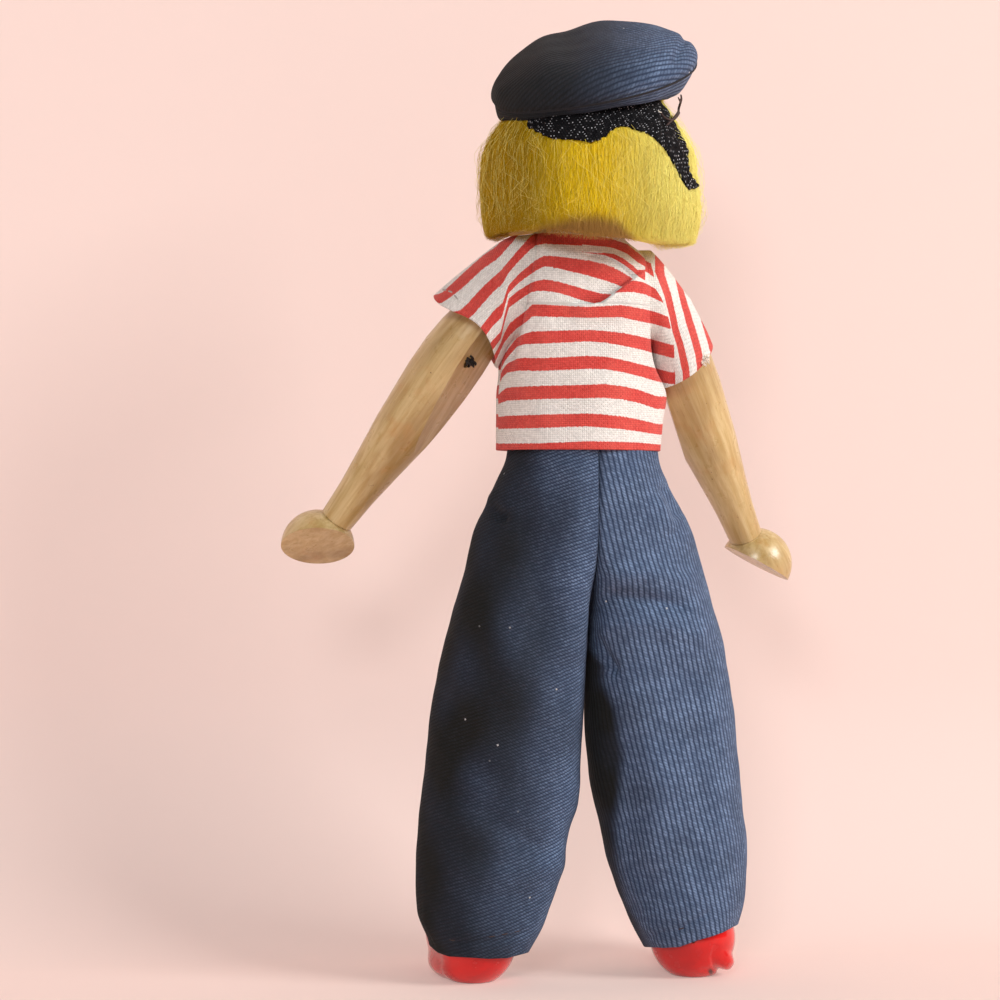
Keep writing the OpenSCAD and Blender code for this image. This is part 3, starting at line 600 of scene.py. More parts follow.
def black_crepe():
    """Black woven tape with rows of small yarn loops, some with a painted highlight."""
    p = Paint("black_crepe", 0.75, Specular_IOR_Level=0.12)
    x, y = p.cloth()
    line = y / 0.6
    number = p.floor(line)
    step = x / 0.7 + number * 0.5
    speck = p.random(p.join(number, p.floor(step)))
    a = p.math("FRACT", line) - 0.5
    b = p.math("FRACT", step) - p.between(speck, 0.0, 1.0, 0.35, 0.65)
    far = a * a + b * b
    bead = p.between(far, 0.2, 0.01)
    # Painted highlights: pale grey spots on the tops of some yarn loops
    painted_glint = p.between(far, 0.06, 0.01) * p.between(speck, 0.4, 0.95)
    flat = p.join(x, y)
    colour = p.mix(p.noise(flat, 3.0, 3), srgb(6, 6, 8), srgb(15, 15, 19))
    colour = p.mix(bead * 0.3, colour, srgb(28, 30, 38))
    p.colour(p.mix(painted_glint * 0.8, colour, srgb(206, 208, 214)))
    p.bump(bead + p.noise(flat, 4.0, 2) * 0.5, 0.00035, 1.0)
    return p.material


def painted_head(along):
    """The varnished head, with a plain face painted on its front as such dolls have."""
    light = (srgb(196, 138, 70), srgb(228, 180, 110), srgb(242, 206, 146))
    p, colour = varnished_wood("head_wood", along, light)
    x, y, z = p.split(p.place())
    across = p.math("ABSOLUTE", (x - float(row([HEAD_X, 0, 0])[0])) * 1000.0)
    height = z * 1000.0 - HEAD_Z
    front = p.math("LESS_THAN", y, float(row([0, 0, 0])[1]))

    def spot(x0, z0, wide, tall, soft=0.15):
        a, b = (across - x0) / wide, (height - z0) / tall
        return p.between(a * a + b * b, 1 + soft, 1 - soft) * front

    colour = p.mix(spot(7.6, -3.6, 3.4, 3.0, 0.9) * 0.45, colour, srgb(226, 112, 96))
    colour = p.mix(spot(4.6, 1.2, 1.15, 1.6), colour, srgb(30, 22, 20))
    colour = p.mix(spot(4.3, 1.8, 0.3, 0.4), colour, srgb(244, 240, 232))
    brow = spot(4.9, 3.6, 2.3, 1.5) * (1.0 - spot(4.9, 3.2, 2.5, 1.5))
    colour = p.mix(brow, colour, srgb(84, 48, 26))
    mouth = p.math("MAXIMUM", spot(0.75, -6.2, 0.95, 0.55), spot(0.0, -6.75, 1.1, 0.6))
    p.colour(p.mix(mouth, colour, srgb(186, 34, 36)))
    return p.material


COTTON = striped_cotton()
LEFT_DENIM = twill("left_leg_twill", 0.68, 0.75, 0.8)
RIGHT_DENIM = twill("right_leg_twill", 1.06, 0.5, 1.3)
CAP_CLOTH = twill("cap_twill", 0.98, 0.5, 1.0)
CREPE = black_crepe()
RED = red_gloss()
HAIR_BASE, HAIR = mohair("mohair_base", False), mohair("mohair", True)
BEECH = plain_wood()
BLACK_CORD = simple("black_cord", srgb(20, 17, 15), srgb(46, 38, 32), 0.75, 2600, bump=0.0002)
STEEL = simple("pin_steel", srgb(120, 114, 104), srgb(160, 152, 140), 0.4, 900, Metallic=1.0)
LINING = simple("cap_lining", srgb(16, 16, 20), srgb(34, 34, 40), 0.9, 2200, bump=0.0002)
ELASTIC = simple("elastic", srgb(206, 200, 186), srgb(232, 228, 216), 0.8, 2000, bump=0.0003)
THREAD = simple("pale_thread", srgb(214, 204, 188), srgb(240, 234, 222), 0.8, 3000)
GREY_THREAD = simple("grey_thread", srgb(150, 146, 142), srgb(188, 182, 176), 0.8, 3000)
DARK_THREAD = simple("dark_thread", srgb(34, 18, 16), srgb(60, 34, 28), 0.7, 3000)

# Wooden parts keep their CAD shape
LEFT_ARM = dict(side=1, spread=32.0, swing=22.5)
RIGHT_ARM = dict(side=-1, spread=26.0, swing=21.5)


def arm_way(arm):
    """Direction from the shoulder to the hand."""
    spread, swing = math.radians(arm["spread"]), math.radians(arm["swing"])
    down = -math.cos(spread)
    return Vector((arm["side"] * math.sin(spread), down * math.sin(swing), down * math.cos(swing)))


upright = (0, 0, 1)
for material, names in (
    (varnished_wood("torso_wood", upright)[0].material, ["torso"]),
    (painted_head(upright), ["head"]),
    (varnished_wood("left_arm_wood", arm_way(LEFT_ARM))[0].material, ["left_arm"]),
    (varnished_wood("right_arm_wood", arm_way(RIGHT_ARM))[0].material, ["right_arm"]),
    (BEECH, ["neck_dowel", "hip_peg", "left_leg", "right_leg"]),
    (BLACK_CORD, ["shoulder_cord", "left_cord_end", "right_cord_end", "left_arm_knot", "right_arm_knot"]),
    (STEEL, ["left_arm_pin", "right_arm_pin"]),
    (LINING, ["cap_band"]),
    (ELASTIC, ["waist_elastic"]),
):
    for name in names:
        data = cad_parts[name].data
        data.materials.clear()
        data.materials.append(material)

# Shirt
SHIRT_OFF, SHIRT_W, SHIRT_D, HEM_Z, TOP_Z, ARMHOLE = 1.3, 16.4, 14.8, 105.0, 147.7, 9.15
STRIPE = 5.75
# Value of a cut that a fold makes nowhere
NO_CUT = -5.0
# Share of the height, then shares of the half width and half depth, and squareness
SHIRT_RINGS = np.array([
    [0, 1, 1, 1], [0.13, 0.995, 0.985, 1], [0.26, 0.965, 0.965, 1], [0.37, 0.86, 0.945, 0.85],
    [0.48, 0.81, 0.935, 0.65], [0.71, 0.81, 0.92, 0.6], [0.8, 0.81, 0.87, 0.62], [0.87, 0.8, 0.8, 0.7],
    [0.92, 0.74, 0.72, 0.85], [0.96, 0.62, 0.65, 1], [1, 0.5, 0.58, 1]])
# Where the red stripes lie in the picture: stripe number, then places from left to right.
# LOWER is the back and the left sleeve, UPPER the cloth above the slanting fold, COLLAR the strip above that
LOWER = [
    (0, [(484, 512), (498, 450), (545, 449.5), (590, 447), (640, 446.5), (665, 448)]),
    (1, [(484, 486), (500, 422.5), (545, 421), (590, 419.5), (625, 423), (661, 429.5)]),
    (2, [(484, 460), (498, 400), (510, 394), (545, 392), (590, 391), (607, 390), (624, 391.4), (642, 395),
         (659, 401.7)]),
    (3, [(484, 434), (505, 372), (510, 366), (522, 363.5), (545, 364), (590, 361.6), (607, 362), (624, 365),
         (642, 369.6), (659, 374), (673, 377.6)]),
    (4, [(484, 410), (508, 358), (515, 348), (520, 341), (528, 338), (545, 337), (590, 334.6), (607, 336),
         (624, 338.6), (642, 342), (659, 346.6), (675, 351)]),
    (5, [(484, 386), (506.6, 338), (512.8, 330), (520, 324), (529, 316.8), (535, 309.7), (545, 310),
         (590, 312),
         (607, 311), (624, 310), (642, 314), (659, 317), (671.5, 321)]),
    (6, [(484, 359.7), (495.4, 346.4), (503.6, 337), (507.7, 316.8), (511.7, 300.5), (520, 294.4),
         (532, 287),
         (539, 285), (545, 284.5), (560, 286), (590, 288), (612, 287), (636, 285), (647, 287), (661, 294),
         (672, 301)]),
    (7, [(477, 343.4), (486, 333), (496.4, 319), (505.6, 310.7), (511, 291), (522, 279), (539, 265.8),
         (547, 260.5), (560, 261), (600, 262), (630, 262), (644, 263), (652, 268), (661, 275), (672, 284)]),
    (8, [(462.8, 319), (471, 311.7), (482, 298.5), (495.4, 284), (504.6, 276), (516.8, 260.7), (527, 249.5),
         (537, 239), (547, 238), (560, 239), (590, 241)]),
    (9, [(444, 298.5), (452.6, 291), (462.8, 281), (474, 271), (486, 260.7), (498.5, 253.6), (515, 236),
         (532, 214),
         (590, 213)]),
    (10, [(435, 285), (444, 275), (463, 258), (486, 236), (515, 205), (532, 186)])]
UPPER = [
    (5, [(560, 310), (590, 320), (640, 330)]),
    (6, [(560, 286.5), (590, 295.6), (604, 299), (613, 299), (640, 300)]),
    (7, [(560, 262), (590, 268.6), (607, 273.8), (618.7, 279), (626.7, 283), (640, 288)]),
    (7.42, [(560, 251), (590, 252.5), (607, 254.5), (617.5, 258.5), (626.7, 264), (636, 271), (640, 275)]),
    (8, [(560, 239), (590, 241), (613, 244), (640, 258)])]
COLLAR = [
    (7, [(560, 247), (590, 252.5), (607, 254.5), (617.5, 258.5), (626.7, 264), (636, 271), (640, 275)]),
    (7.23, [(560, 247), (590, 252.5), (600, 253.2), (607, 252.2), (617.5, 253.5), (626.7, 258), (636, 265),
         (640, 269)]),
    (8, [(560, 239), (590, 241), (613, 244), (630, 250), (640, 258), (652, 268)])]
SLANT_FOLD = [(556, 299), (575, 303), (590, 303.5), (604, 302), (620, 290), (632, 281), (644, 273),
    (650, 262)]
COLLAR_FOLD = COLLAR[0][1] + [(648, 280)]


def shirt_stripes(px):
    """Stripe numbers of the shirt's back and left sleeve, and where the folds cut them off."""
    u, v = px[..., 0], px[..., 1]
    edge = np.minimum(u - 556, 648 - u)
    return {
        "stripe_a": between_curves(v, u, LOWER, 28), "stripe_b": between_curves(v, u, UPPER, 28),
        "stripe_c": between_curves(v, u, COLLAR, 28), "cut_b": np.minimum(at(SLANT_FOLD, u) - v, edge),
        "cut_c": np.minimum(at(COLLAR_FOLD, u) - v, np.minimum(u - 585, edge))}


def build_shirt():
    rows, cols = 190, 330
    h = np.linspace(0, 1, rows)[:, None]
    t = np.radians(np.arange(cols) * 360 / cols + 0.5)[None, :]
    ring = through(SHIRT_RINGS[:, 0], SHIRT_RINGS[:, 1:], h[:, 0])
    w, d, e = (ring[:, k][:, None] for k in range(3))
    wave = 0.25 * (1 - h) * np.cos(7 * t + 0.7)
    z = HEM_Z + h * (TOP_Z - HEM_Z) + 0 * t
    x = SHIRT_OFF + (w * SHIRT_W + wave) * power(np.cos(t), e)
    y = (d * SHIRT_D + wave) * power(np.sin(t), e)
    # The right side stands out under the sleeve, and the left shoulder is higher
    x = x - 1.9 * np.exp(-(((z - 117) / 5.5) ** 2)) * np.maximum(-np.cos(t), 0) ** 2
    x = x + 2.2 * np.exp(-(((z - 124) / 7) ** 2)) * np.maximum(np.cos(t), 0) ** 2
    z = z + 1.7 * np.exp(-(((x - 12) / 4) ** 2)) * ease(141, 146, z)
    p = np.stack([x, y, z], -1)
    px = pixel(p)
    back = ease(0.5, 6.0, p[..., 1])
    bend = (
        fold(px, [(648, 268), (632, 281), (620, 290), (604, 302), (588, 304), (570, 303)], 1.15, 1.6, 20, 9)
        + fold(px, [(584, 252), (607, 254.5), (617.5, 258.5), (626.7, 264), (636, 271), (645, 278)],
            0.35, 0.6, 9, 5)
        + crease(px, [(660, 285), (640, 297), (620, 310), (600, 316)], 0.35, 9)
        + crease(px, [(560, 316), (585, 322), (610, 322)], -0.3, 8)
        + crease(px, [(545, 240), (539, 268), (536, 288), (530, 317), (527, 335), (522, 355)], 0.7, 7)
        + crease(px, [(528, 250), (522, 290), (514, 330), (508, 352)], -1.7, 9)
        + crease(px, [(661, 274), (663.5, 289), (669, 305), (672.6, 317)], -0.35, 3.5)
        + crease(px, [(520, 350), (560, 356), (600, 352)], -0.25, 12)
        + crease(px, [(610, 380), (640, 400), (655, 430)], 0.25, 14)
        + crease(px, [(505, 378), (520, 400), (530, 430)], -0.3, 10)
    )
    p = p + grid_normals(p) * ((bend * back)[..., None] + 0.12 * lumps(p, 11, 3)[..., None])
    # The collar and the hem are turned in
    middle = np.array([SHIRT_OFF, 0, 0])
    hem = turned_in(p[0], middle, ((0.25, -0.12), (0.55, 0.1), (0.6, 1.4)))[::-1]
    collar = turned_in(p[-1], middle, ((0.25, 0.2), (0.6, 0.12), (0.8, -0.5), (0.85, -1.2)))
    p = np.concatenate([hem, p, collar])
    values = shirt_stripes(pixel(p))
    front = p[..., 1] < 0.5
    values["stripe_a"] = np.where(front, (p[..., 2] - HEM_Z) / STRIPE, values["stripe_a"])
    for key in ("cut_b", "cut_c"):
        values[key] = np.where(front, NO_CUT, values[key])
    around = np.concatenate([p, p[:, :1]], 1)
    length = walked(around[..., :2], 1)
    length -= length[:, [cols // 4]]
    uv = np.stack([length, around[..., 2]], -1)
    hole = np.hypot(p[..., 1], p[..., 2] - SHOULDER_Z) < ARMHOLE - 0.1
    keep = ~(hole & (np.abs(p[..., 0] - SHIRT_OFF) > 7.5))
    return skin("shirt", p, COTTON, uv, values, keep=keep, thickness=0.32)


shirt = build_shirt()
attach(shirt, "body")
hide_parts("shirt_back", "shirt_front")

# Sleeves
SLEEVE_X = 0.815 * SHIRT_W + 0.6
# aim is the slope of the mouth and way that of the sleeve, in degrees. short is how much of its reach is
# missing all round, below and at the back. bump and full lift it at the shoulder, droop lowers its mouth
SLEEVES = {
    "left_sleeve": dict(
        arm=LEFT_ARM, x=SLEEVE_X + SHIRT_OFF, aim=52.0, way=49.0, reach=1.75 * ARM_R,
        mouth=(1.47 * ARM_R, 1.42 * ARM_R), short=(0.05, 0.25, 0.2), bump=2.9, droop=2.0, full=0.0),
    "right_sleeve": dict(
        arm=RIGHT_ARM, x=SLEEVE_X - SHIRT_OFF, aim=37.0, way=27.5, reach=2.54 * ARM_R,
        mouth=(1.08 * ARM_R, 1.5 * ARM_R), short=(0.09, 0.2, 0.0), bump=0.4, droop=0.0, full=1.7),
}


# The right sleeve's own stripes, read across it: number, then places (v, -u) from the top down
SLEEVE_STRIPES = [
    (0, [(271, -661), (294, -670), (316, -675.5), (331, -678.4), (345.5, -683), (373, -688.7)]),
    (0.5, [(274, -673.8), (294, -678.4), (311, -682), (326, -685), (341, -690), (366, -696.7)]),
    (1, [(278, -680.7), (298, -685), (317, -691), (335, -696.7), (355, -702)]),
    (1.5, [(281, -686), (298, -693), (320, -700), (340, -706), (351, -709)])]
SLEEVE_SEAM = [(265, 654), (271, 656), (289, 659), (298, 664.6), (312, 670), (328, 673.8), (340, 676),
    (349, 677), (380, 677)]


def sleeve_grid(sleeve, rows=64, cols=180):
    """Points of a sleeve, from a flange inside the armhole to its mouth."""
    flange = 4
    q = np.concatenate([np.zeros(flange), np.linspace(0, 1, rows)])[:, None]
    inside = np.concatenate([np.linspace(1, 1 / flange, flange), np.zeros(rows)])[:, None]
    t = (np.arange(cols) * 2 * np.pi / cols)[None, :]
    back = np.maximum(np.sin(t), 0) ** 2
    short = sleeve["short"]
    reach = q * (1 - short[0] - short[1] * (1 - np.cos(t)) / 2 - short[2] * back)
    turned = np.radians(90 - (90 - sleeve["aim"]) * reach)
    heading = np.radians(sleeve["way"] + (1 - reach) * 4)
    a, b = (ARMHOLE + 0.3 + reach * (size - ARMHOLE) - 0.15 * inside for size in sleeve["mouth"])
    wave = q * 0.35 * np.cos(3 * t + 0.52) + 0.25 * q * np.sin(5 * t + 1.0) * (1 - 0.4 * q)
    top = np.maximum(np.cos(t), 0) ** 2
    raised = (sleeve["bump"] * np.exp(-((q / 0.5) ** 2)) - sleeve["droop"] * q**2) * top
    far = reach * sleeve["reach"]
    high = (a + wave) * np.cos(t)
    x = sleeve["x"] - 4.5 * inside + far * np.sin(heading) + high * np.cos(turned)
    y = (b + wave) * np.sin(t) + sleeve["full"] * np.exp(-((q / 0.35) ** 2)) * back
    z = -far * np.cos(heading) + high * np.sin(turned) + raised
    swing = -math.radians(sleeve["arm"]["swing"])
    cos, sin = math.cos(swing), math.sin(swing)
    p = np.stack([sleeve["arm"]["side"] * x, y * cos - z * sin, y * sin + z * cos + SHOULDER_Z], -1)
    return p, q


def mirrored(values, p):
    """Values of the side of a sleeve that the camera sees, mirrored to the side that it doesn't."""
    seen = grid_normals(p) @ TOWARD > 0
    n = p.shape[1]
    place = np.arange(n)
    out = values.copy()
    for k in range(len(p)):
        shown = place[seen[k]]
        if len(shown) < 4:
            continue
        start = shown[np.argmax(np.diff(np.concatenate([[shown[-1] - n], shown])))]
        count = len(shown)
        arc = (start + np.arange(count)) % n
        rest = (start + count + np.arange(n - count)) % n
        out[k, rest] = np.interp(np.linspace(count - 1, 0, n - count), np.arange(count), values[k, arc])
    return out


def build_sleeve(name, folds):
    sleeve = SLEEVES[name]
    p, q = sleeve_grid(sleeve)
    px = pixel(p)
    bend = sum((crease(px, *f) for f in folds), 0.0 * px[..., 0]) * ease(-6, 0, p[..., 1])
    p = p + grid_normals(p) * (bend + 0.1 * q * lumps(p, 9, 11))[..., None]
    # Turned hem at the mouth
    last, before = p[-1], p[-6]
    way, inward = unit(last - before), unit(last.mean(0) - last)
    steps = ((0.12, 0.22), (0.0, 0.55), (-0.8, 0.65), (-2.2, 0.7))
    p = np.concatenate([p, np.array([last + a * way + b * inward for a, b in steps])])
    px = pixel(p)
    values = shirt_stripes(px)
    values["cut_b"] = NO_CUT + 0 * px[..., 0]
    values["cut_c"] = values["cut_b"]
    if sleeve["arm"]["side"] < 0:
        values["stripe_b"] = between_curves(-px[..., 0], px[..., 1], SLEEVE_STRIPES, 14)
        values["cut_b"] = px[..., 0] - at(SLEEVE_SEAM, px[..., 1])
    values = {key: mirrored(value, p) for key, value in values.items()}
    around = np.concatenate([p, p[:, :1]], 1)
    length = np.linspace(0, 60, around.shape[1])[None, :] + 0 * around[..., 0]
    uv = np.stack([walked(around), length], -1)
    return skin(name + "_cloth", p, COTTON, uv, values, thickness=0.32), p


left_sleeve, left_points = build_sleeve("left_sleeve", [
    ([(542, 231), (522, 250), (514, 266), (511, 282), (508, 296), (506.6, 302.5)], 0.5, 7),
    ([(525, 262), (516, 300), (508, 345)], -0.6, 6), ([(500, 262), (480, 290), (470, 315)], -0.3, 10)])
right_sleeve, right_points = build_sleeve("right_sleeve", [
    ([(667, 280), (674, 300), (680, 330), (686, 365)], -0.3, 4), ([(690, 300), (697, 330), (703, 352)],
    0.25, 5)])
for o, name, flat in (
    (left_sleeve, "left_sleeve", (0.062, 0.018)), (right_sleeve, "right_sleeve", (0.06, 0.022))
):
    sleeve = SLEEVES[name]
    side = sleeve["arm"]["side"]
    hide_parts(name)
    pivot = np.array([side * (sleeve["x"] + 0.4), 0, SHOULDER_Z])
    way = unit(np.array(arm_way(sleeve["arm"])) + [side * 0.5, 0, 0])
    tuple(row(pivot + 11 * way))
    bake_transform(o)

# Trousers
WAIST_Z, CROTCH_Z, CUFF_Z = 106.2, 74.0, 6.8
# Height, centre, outer half width, inner half width, half depth, squareness inwards and in depth
TROUSER_RINGS = np.array([
    [106.2, 1.5, 13.35, 1.4, 13.56, 0.5, 0.25], [103, 1.5, 13.95, 1.4, 13.7, 0.5, 0.25],
    [97.9, 1.5, 16.3, 1.4, 14.06, 0.5, 0.25], [92.8, 1.5, 18.7, 1.4, 14.2, 0.5, 0.25],
    [87.1, 1.7, 20.9, 1.6, 14.2, 0.5, 0.28], [82.6, 4.0, 19.8, 3.9, 14.06, 0.45, 0.36],
    [78.1, 9.0, 16.0, 8.85, 13.77, 0.42, 0.5], [74, 13.2, 12.9, 12.87, 13.39, 0.4, 0.63],
    [65.3, 14.48, 14.1, 14.1, 13.26, 0.5, 0.71], [55.2, 15.3, 14.85, 14.85, 13.0, 0.7, 0.84],
    [44.4, 16.2, 15.3, 15.3, 12.74, 0.85, 0.92], [31, 17.85, 15.15, 15.15, 12.5, 1, 1],
    [23.6, 18.75, 14.85, 14.85, 12.2, 1, 1], [16.2, 19.75, 13.65, 13.65, 11.96, 1, 1],
    [10.2, 20.65, 11.9, 11.9, 11.57, 1, 1], [6.8, 21.3, 10.4, 10.4, 11.0, 1, 1]])
# Places of the hems in the picture, left leg then right leg
HEMS = {
    1: [(420, 926), (427, 938), (433, 947), (440, 953.5), (451, 957), (471, 958), (492, 959), (511, 958),
        (522, 955), (536, 951), (546, 945)],
    -1: [(625, 941), (642, 945), (666, 946), (682, 945), (698, 939), (715, 934), (726, 930), (742, 921),
        (750, 915)]}


# Where the painted shade on the inner side of the right leg ends: height in the picture, then place across
INNER_SHADE = [
    (640, 580), (655, 597), (665, 606), (680, 606), (715, 618), (755, 626), (800, 620), (850, 618),
    (900, 626), (945, 650)]


def build_trousers(side, folds):
    rows, cols = 220, 200
    z = np.linspace(WAIST_Z, CUFF_Z, rows)
    ring = through(TROUSER_RINGS[:, 0], TROUSER_RINGS[:, 1:], z)
    centre, outer, inner, depth, e1, e2 = (ring[:, k][:, None] for k in range(6))
    t = (np.arange(cols) * 2 * np.pi / cols)[None, :]
    c, s = np.cos(t), np.sin(t)
    share = np.clip((z[:, None] - CUFF_Z) / (CROTCH_Z - CUFF_Z), 0, 1)
    wave = 0.35 * (1 - share) ** 2 * np.cos(5 * t + 0.35)
    lift = 13.76 * np.maximum(np.cos(t + math.radians(72)), 0) ** 0.6 * (1 - share) ** 3
    off = 0.65 * side * ease(74, 106, z)[:, None]
    outer = outer - (1.5 * ease(13, 7, z)[:, None] if side > 0 else 0)
    inner = inner + 0.45 * ease(74, 82, z)[:, None] - (2.2 * ease(40, 12, z)[:, None] if side < 0 else 0)
    x = np.where(c >= 0, centre + (outer + wave + off) * c, centre - (inner + wave) * np.abs(c) ** e1)
    y = (depth + wave) * power(s, np.where(c >= 0, 1.0, e2))
    p = np.stack([side * x, y, z[:, None] + lift], -1)
    px = pixel(p)
    back = ease(-4, 3, p[..., 1])
    bend = sum((crease(px, *f) for f in folds), 0.0 * px[..., 0]) * back
    away = ease(0.2, 2.5, np.abs(p[..., 0]))
    rough = 0.22 * lumps(p, 17, 21 + side) + 0.08 * lumps(p, 6, 31 + side)
    p = p + grid_normals(p) * ((bend + rough) * away)[..., None]
    p[..., 0] = side * np.maximum(side * p[..., 0], -0.03)
    end = pixel(p[-1])
    wanted = (end[:, 1] - at(HEMS[side], end[:, 0])) / PX_MM
    p[..., 2] += wanted * (1 - share) ** 4
    hem = turned_in(p[-1], p[-1].mean(0), ((0.2, -0.12), (0.55, 0.05), (0.75, 0.9), (0.8, 2.6)))
    p = np.concatenate([p, hem])
    around = np.concatenate([p, p[:, :1]], 1)
    length = walked(around, 1)
    middle = cols // 4
    length = -(length - length[:, [middle]]) + np.abs(p[:, [middle], 0])
    height = around[..., 2].copy()
    height[rows:] = height[rows - 1] - np.array([0.2, 0.5, 1.3, 3])[:, None]
    slant = math.radians(-72 if side > 0 else -14)
    cos, sin = math.cos(slant), math.sin(slant)
    uv = np.stack([length * cos - height * sin, length * sin + height * cos], -1)
    px = pixel(p)
    u, v = px[..., 0], px[..., 1]
    # Painted light and shade: the left leg is near black on its outer side and paler towards the crotch and
    # low down, the right leg is lit but for painted shade on its inner side; lumps add random tone, and the
    # front gets an even middle value
    if side > 0:
        tone_and_light = at([(440, 0.02), (490, 0.1), (530, 0.3), (560, 0.6), (590, 0.85)], u)
        tone_and_light = tone_and_light + 0.3 * ease(720, 850, v) * ease(430, 500, u)
    else:
        shade = ease(8, -8, u - at(INNER_SHADE, v))
        tone_and_light = at([(600, 0.85), (660, 1.0)], u) * (1 - 0.95 * shade)
    tone_and_light = np.clip(tone_and_light + 0.12 * lumps(p, 12, 41 + side), 0, 1)
    tone_and_light = np.where(p[..., 1] > 0, tone_and_light, 0.55 + (tone_and_light - 0.55) * ease(-8, 0, p[..., 1]))
    which = SIDES[side]
    denim = LEFT_DENIM if side > 0 else RIGHT_DENIM
    o = skin(which + "_trousers", p, denim, uv, {"tone_and_light": tone_and_light}, thickness=0.5)
    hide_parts(which + "_trouser_seat", which + "_trouser_leg")
    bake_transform(o)
    return p


left_leg_points = build_trousers(1, [
    ([(486, 474), (486, 494)], 1.3, 8), ([(476, 507), (492, 508), (504, 516)], -1.6, 6), ([(525, 500),
    (540, 560), (545, 620)], -0.9, 15),
    ([(575, 470), (580, 560), (575, 650)], 0.7, 14), ([(470, 600), (500, 640), (520, 700)], 0.7, 18),
    ([(520, 660), (560, 720), (570, 800)], 0.9, 20), ([(450, 700), (470, 760), (500, 800)], -0.8, 16),
    ([(460, 795), (500, 822), (545, 850)], -0.9, 12), ([(470, 870), (510, 880), (560, 860)], 0.6, 14),
    ([(455, 942), (492, 939), (507, 936), (528, 930)], -0.35, 3)])
right_leg_points = build_trousers(-1, [
    ([(609, 596), (640, 598), (665, 601), (684, 604)], -1.3, 8), ([(620, 574), (650, 572), (690, 580)],
    0.8, 10),
    ([(612, 626), (650, 622), (700, 632)], 0.8, 11), ([(668, 488), (679, 512)], -0.9, 5), ([(664, 505),
    (672, 525)], 0.6, 6),
    ([(600, 642), (607, 655), (616, 668)], -1.6, 6), ([(640, 700), (660, 780), (655, 850)], 0.7, 18),
    ([(690, 680), (705, 760), (700, 860)], -0.6, 16), ([(620, 760), (635, 850), (650, 900)], -0.7, 14),
    ([(655, 932), (684, 930), (712, 920)], -0.3, 3)])

# Cap
CAP_R, SEAM_R, CAP_H = 20.8, 20.2, 6.6
RIM = np.array([HEAD_X, 0.15 * HEAD_R, HEAD_Z + 0.88 * HEAD_R])
MOUTH_H = 0.48 * HEAD_R
MOUTH_R = math.sqrt(HEAD_R**2 - MOUTH_H**2) + 1.4
# How far the rim and the mouth lean back and to the side, in degrees
RIM_LEAN, MOUTH_LEAN = (22, 13), (7, 9)
# Radius and height of the crown, as shares
CROWN = np.array([
    [0.001, 1.0], [0.1, 0.999], [0.25, 0.99], [0.46, 0.955], [0.7, 0.86], [0.86, 0.67], [0.96, 0.4],
    [0.995, 0.18], [0.975, -0.04]])


def leant(v, lean, cock):
    lean, cock = math.radians(lean), math.radians(cock)
    y = v[..., 1] * math.cos(lean) + v[..., 2] * math.sin(lean)
    z = v[..., 2] * math.cos(lean) - v[..., 1] * math.sin(lean)
    x = v[..., 0] * math.cos(cock) + z * math.sin(cock)
    return np.stack([x, y, z * math.cos(cock) - v[..., 0] * math.sin(cock)], -1)


def hoop(radius, height, t, lean, cock):
    """Points at the angles t of a circle, leant with its middle held."""
    return leant(np.stack([radius * np.cos(t), radius * np.sin(t), height + 0 * t], -1), lean, cock)


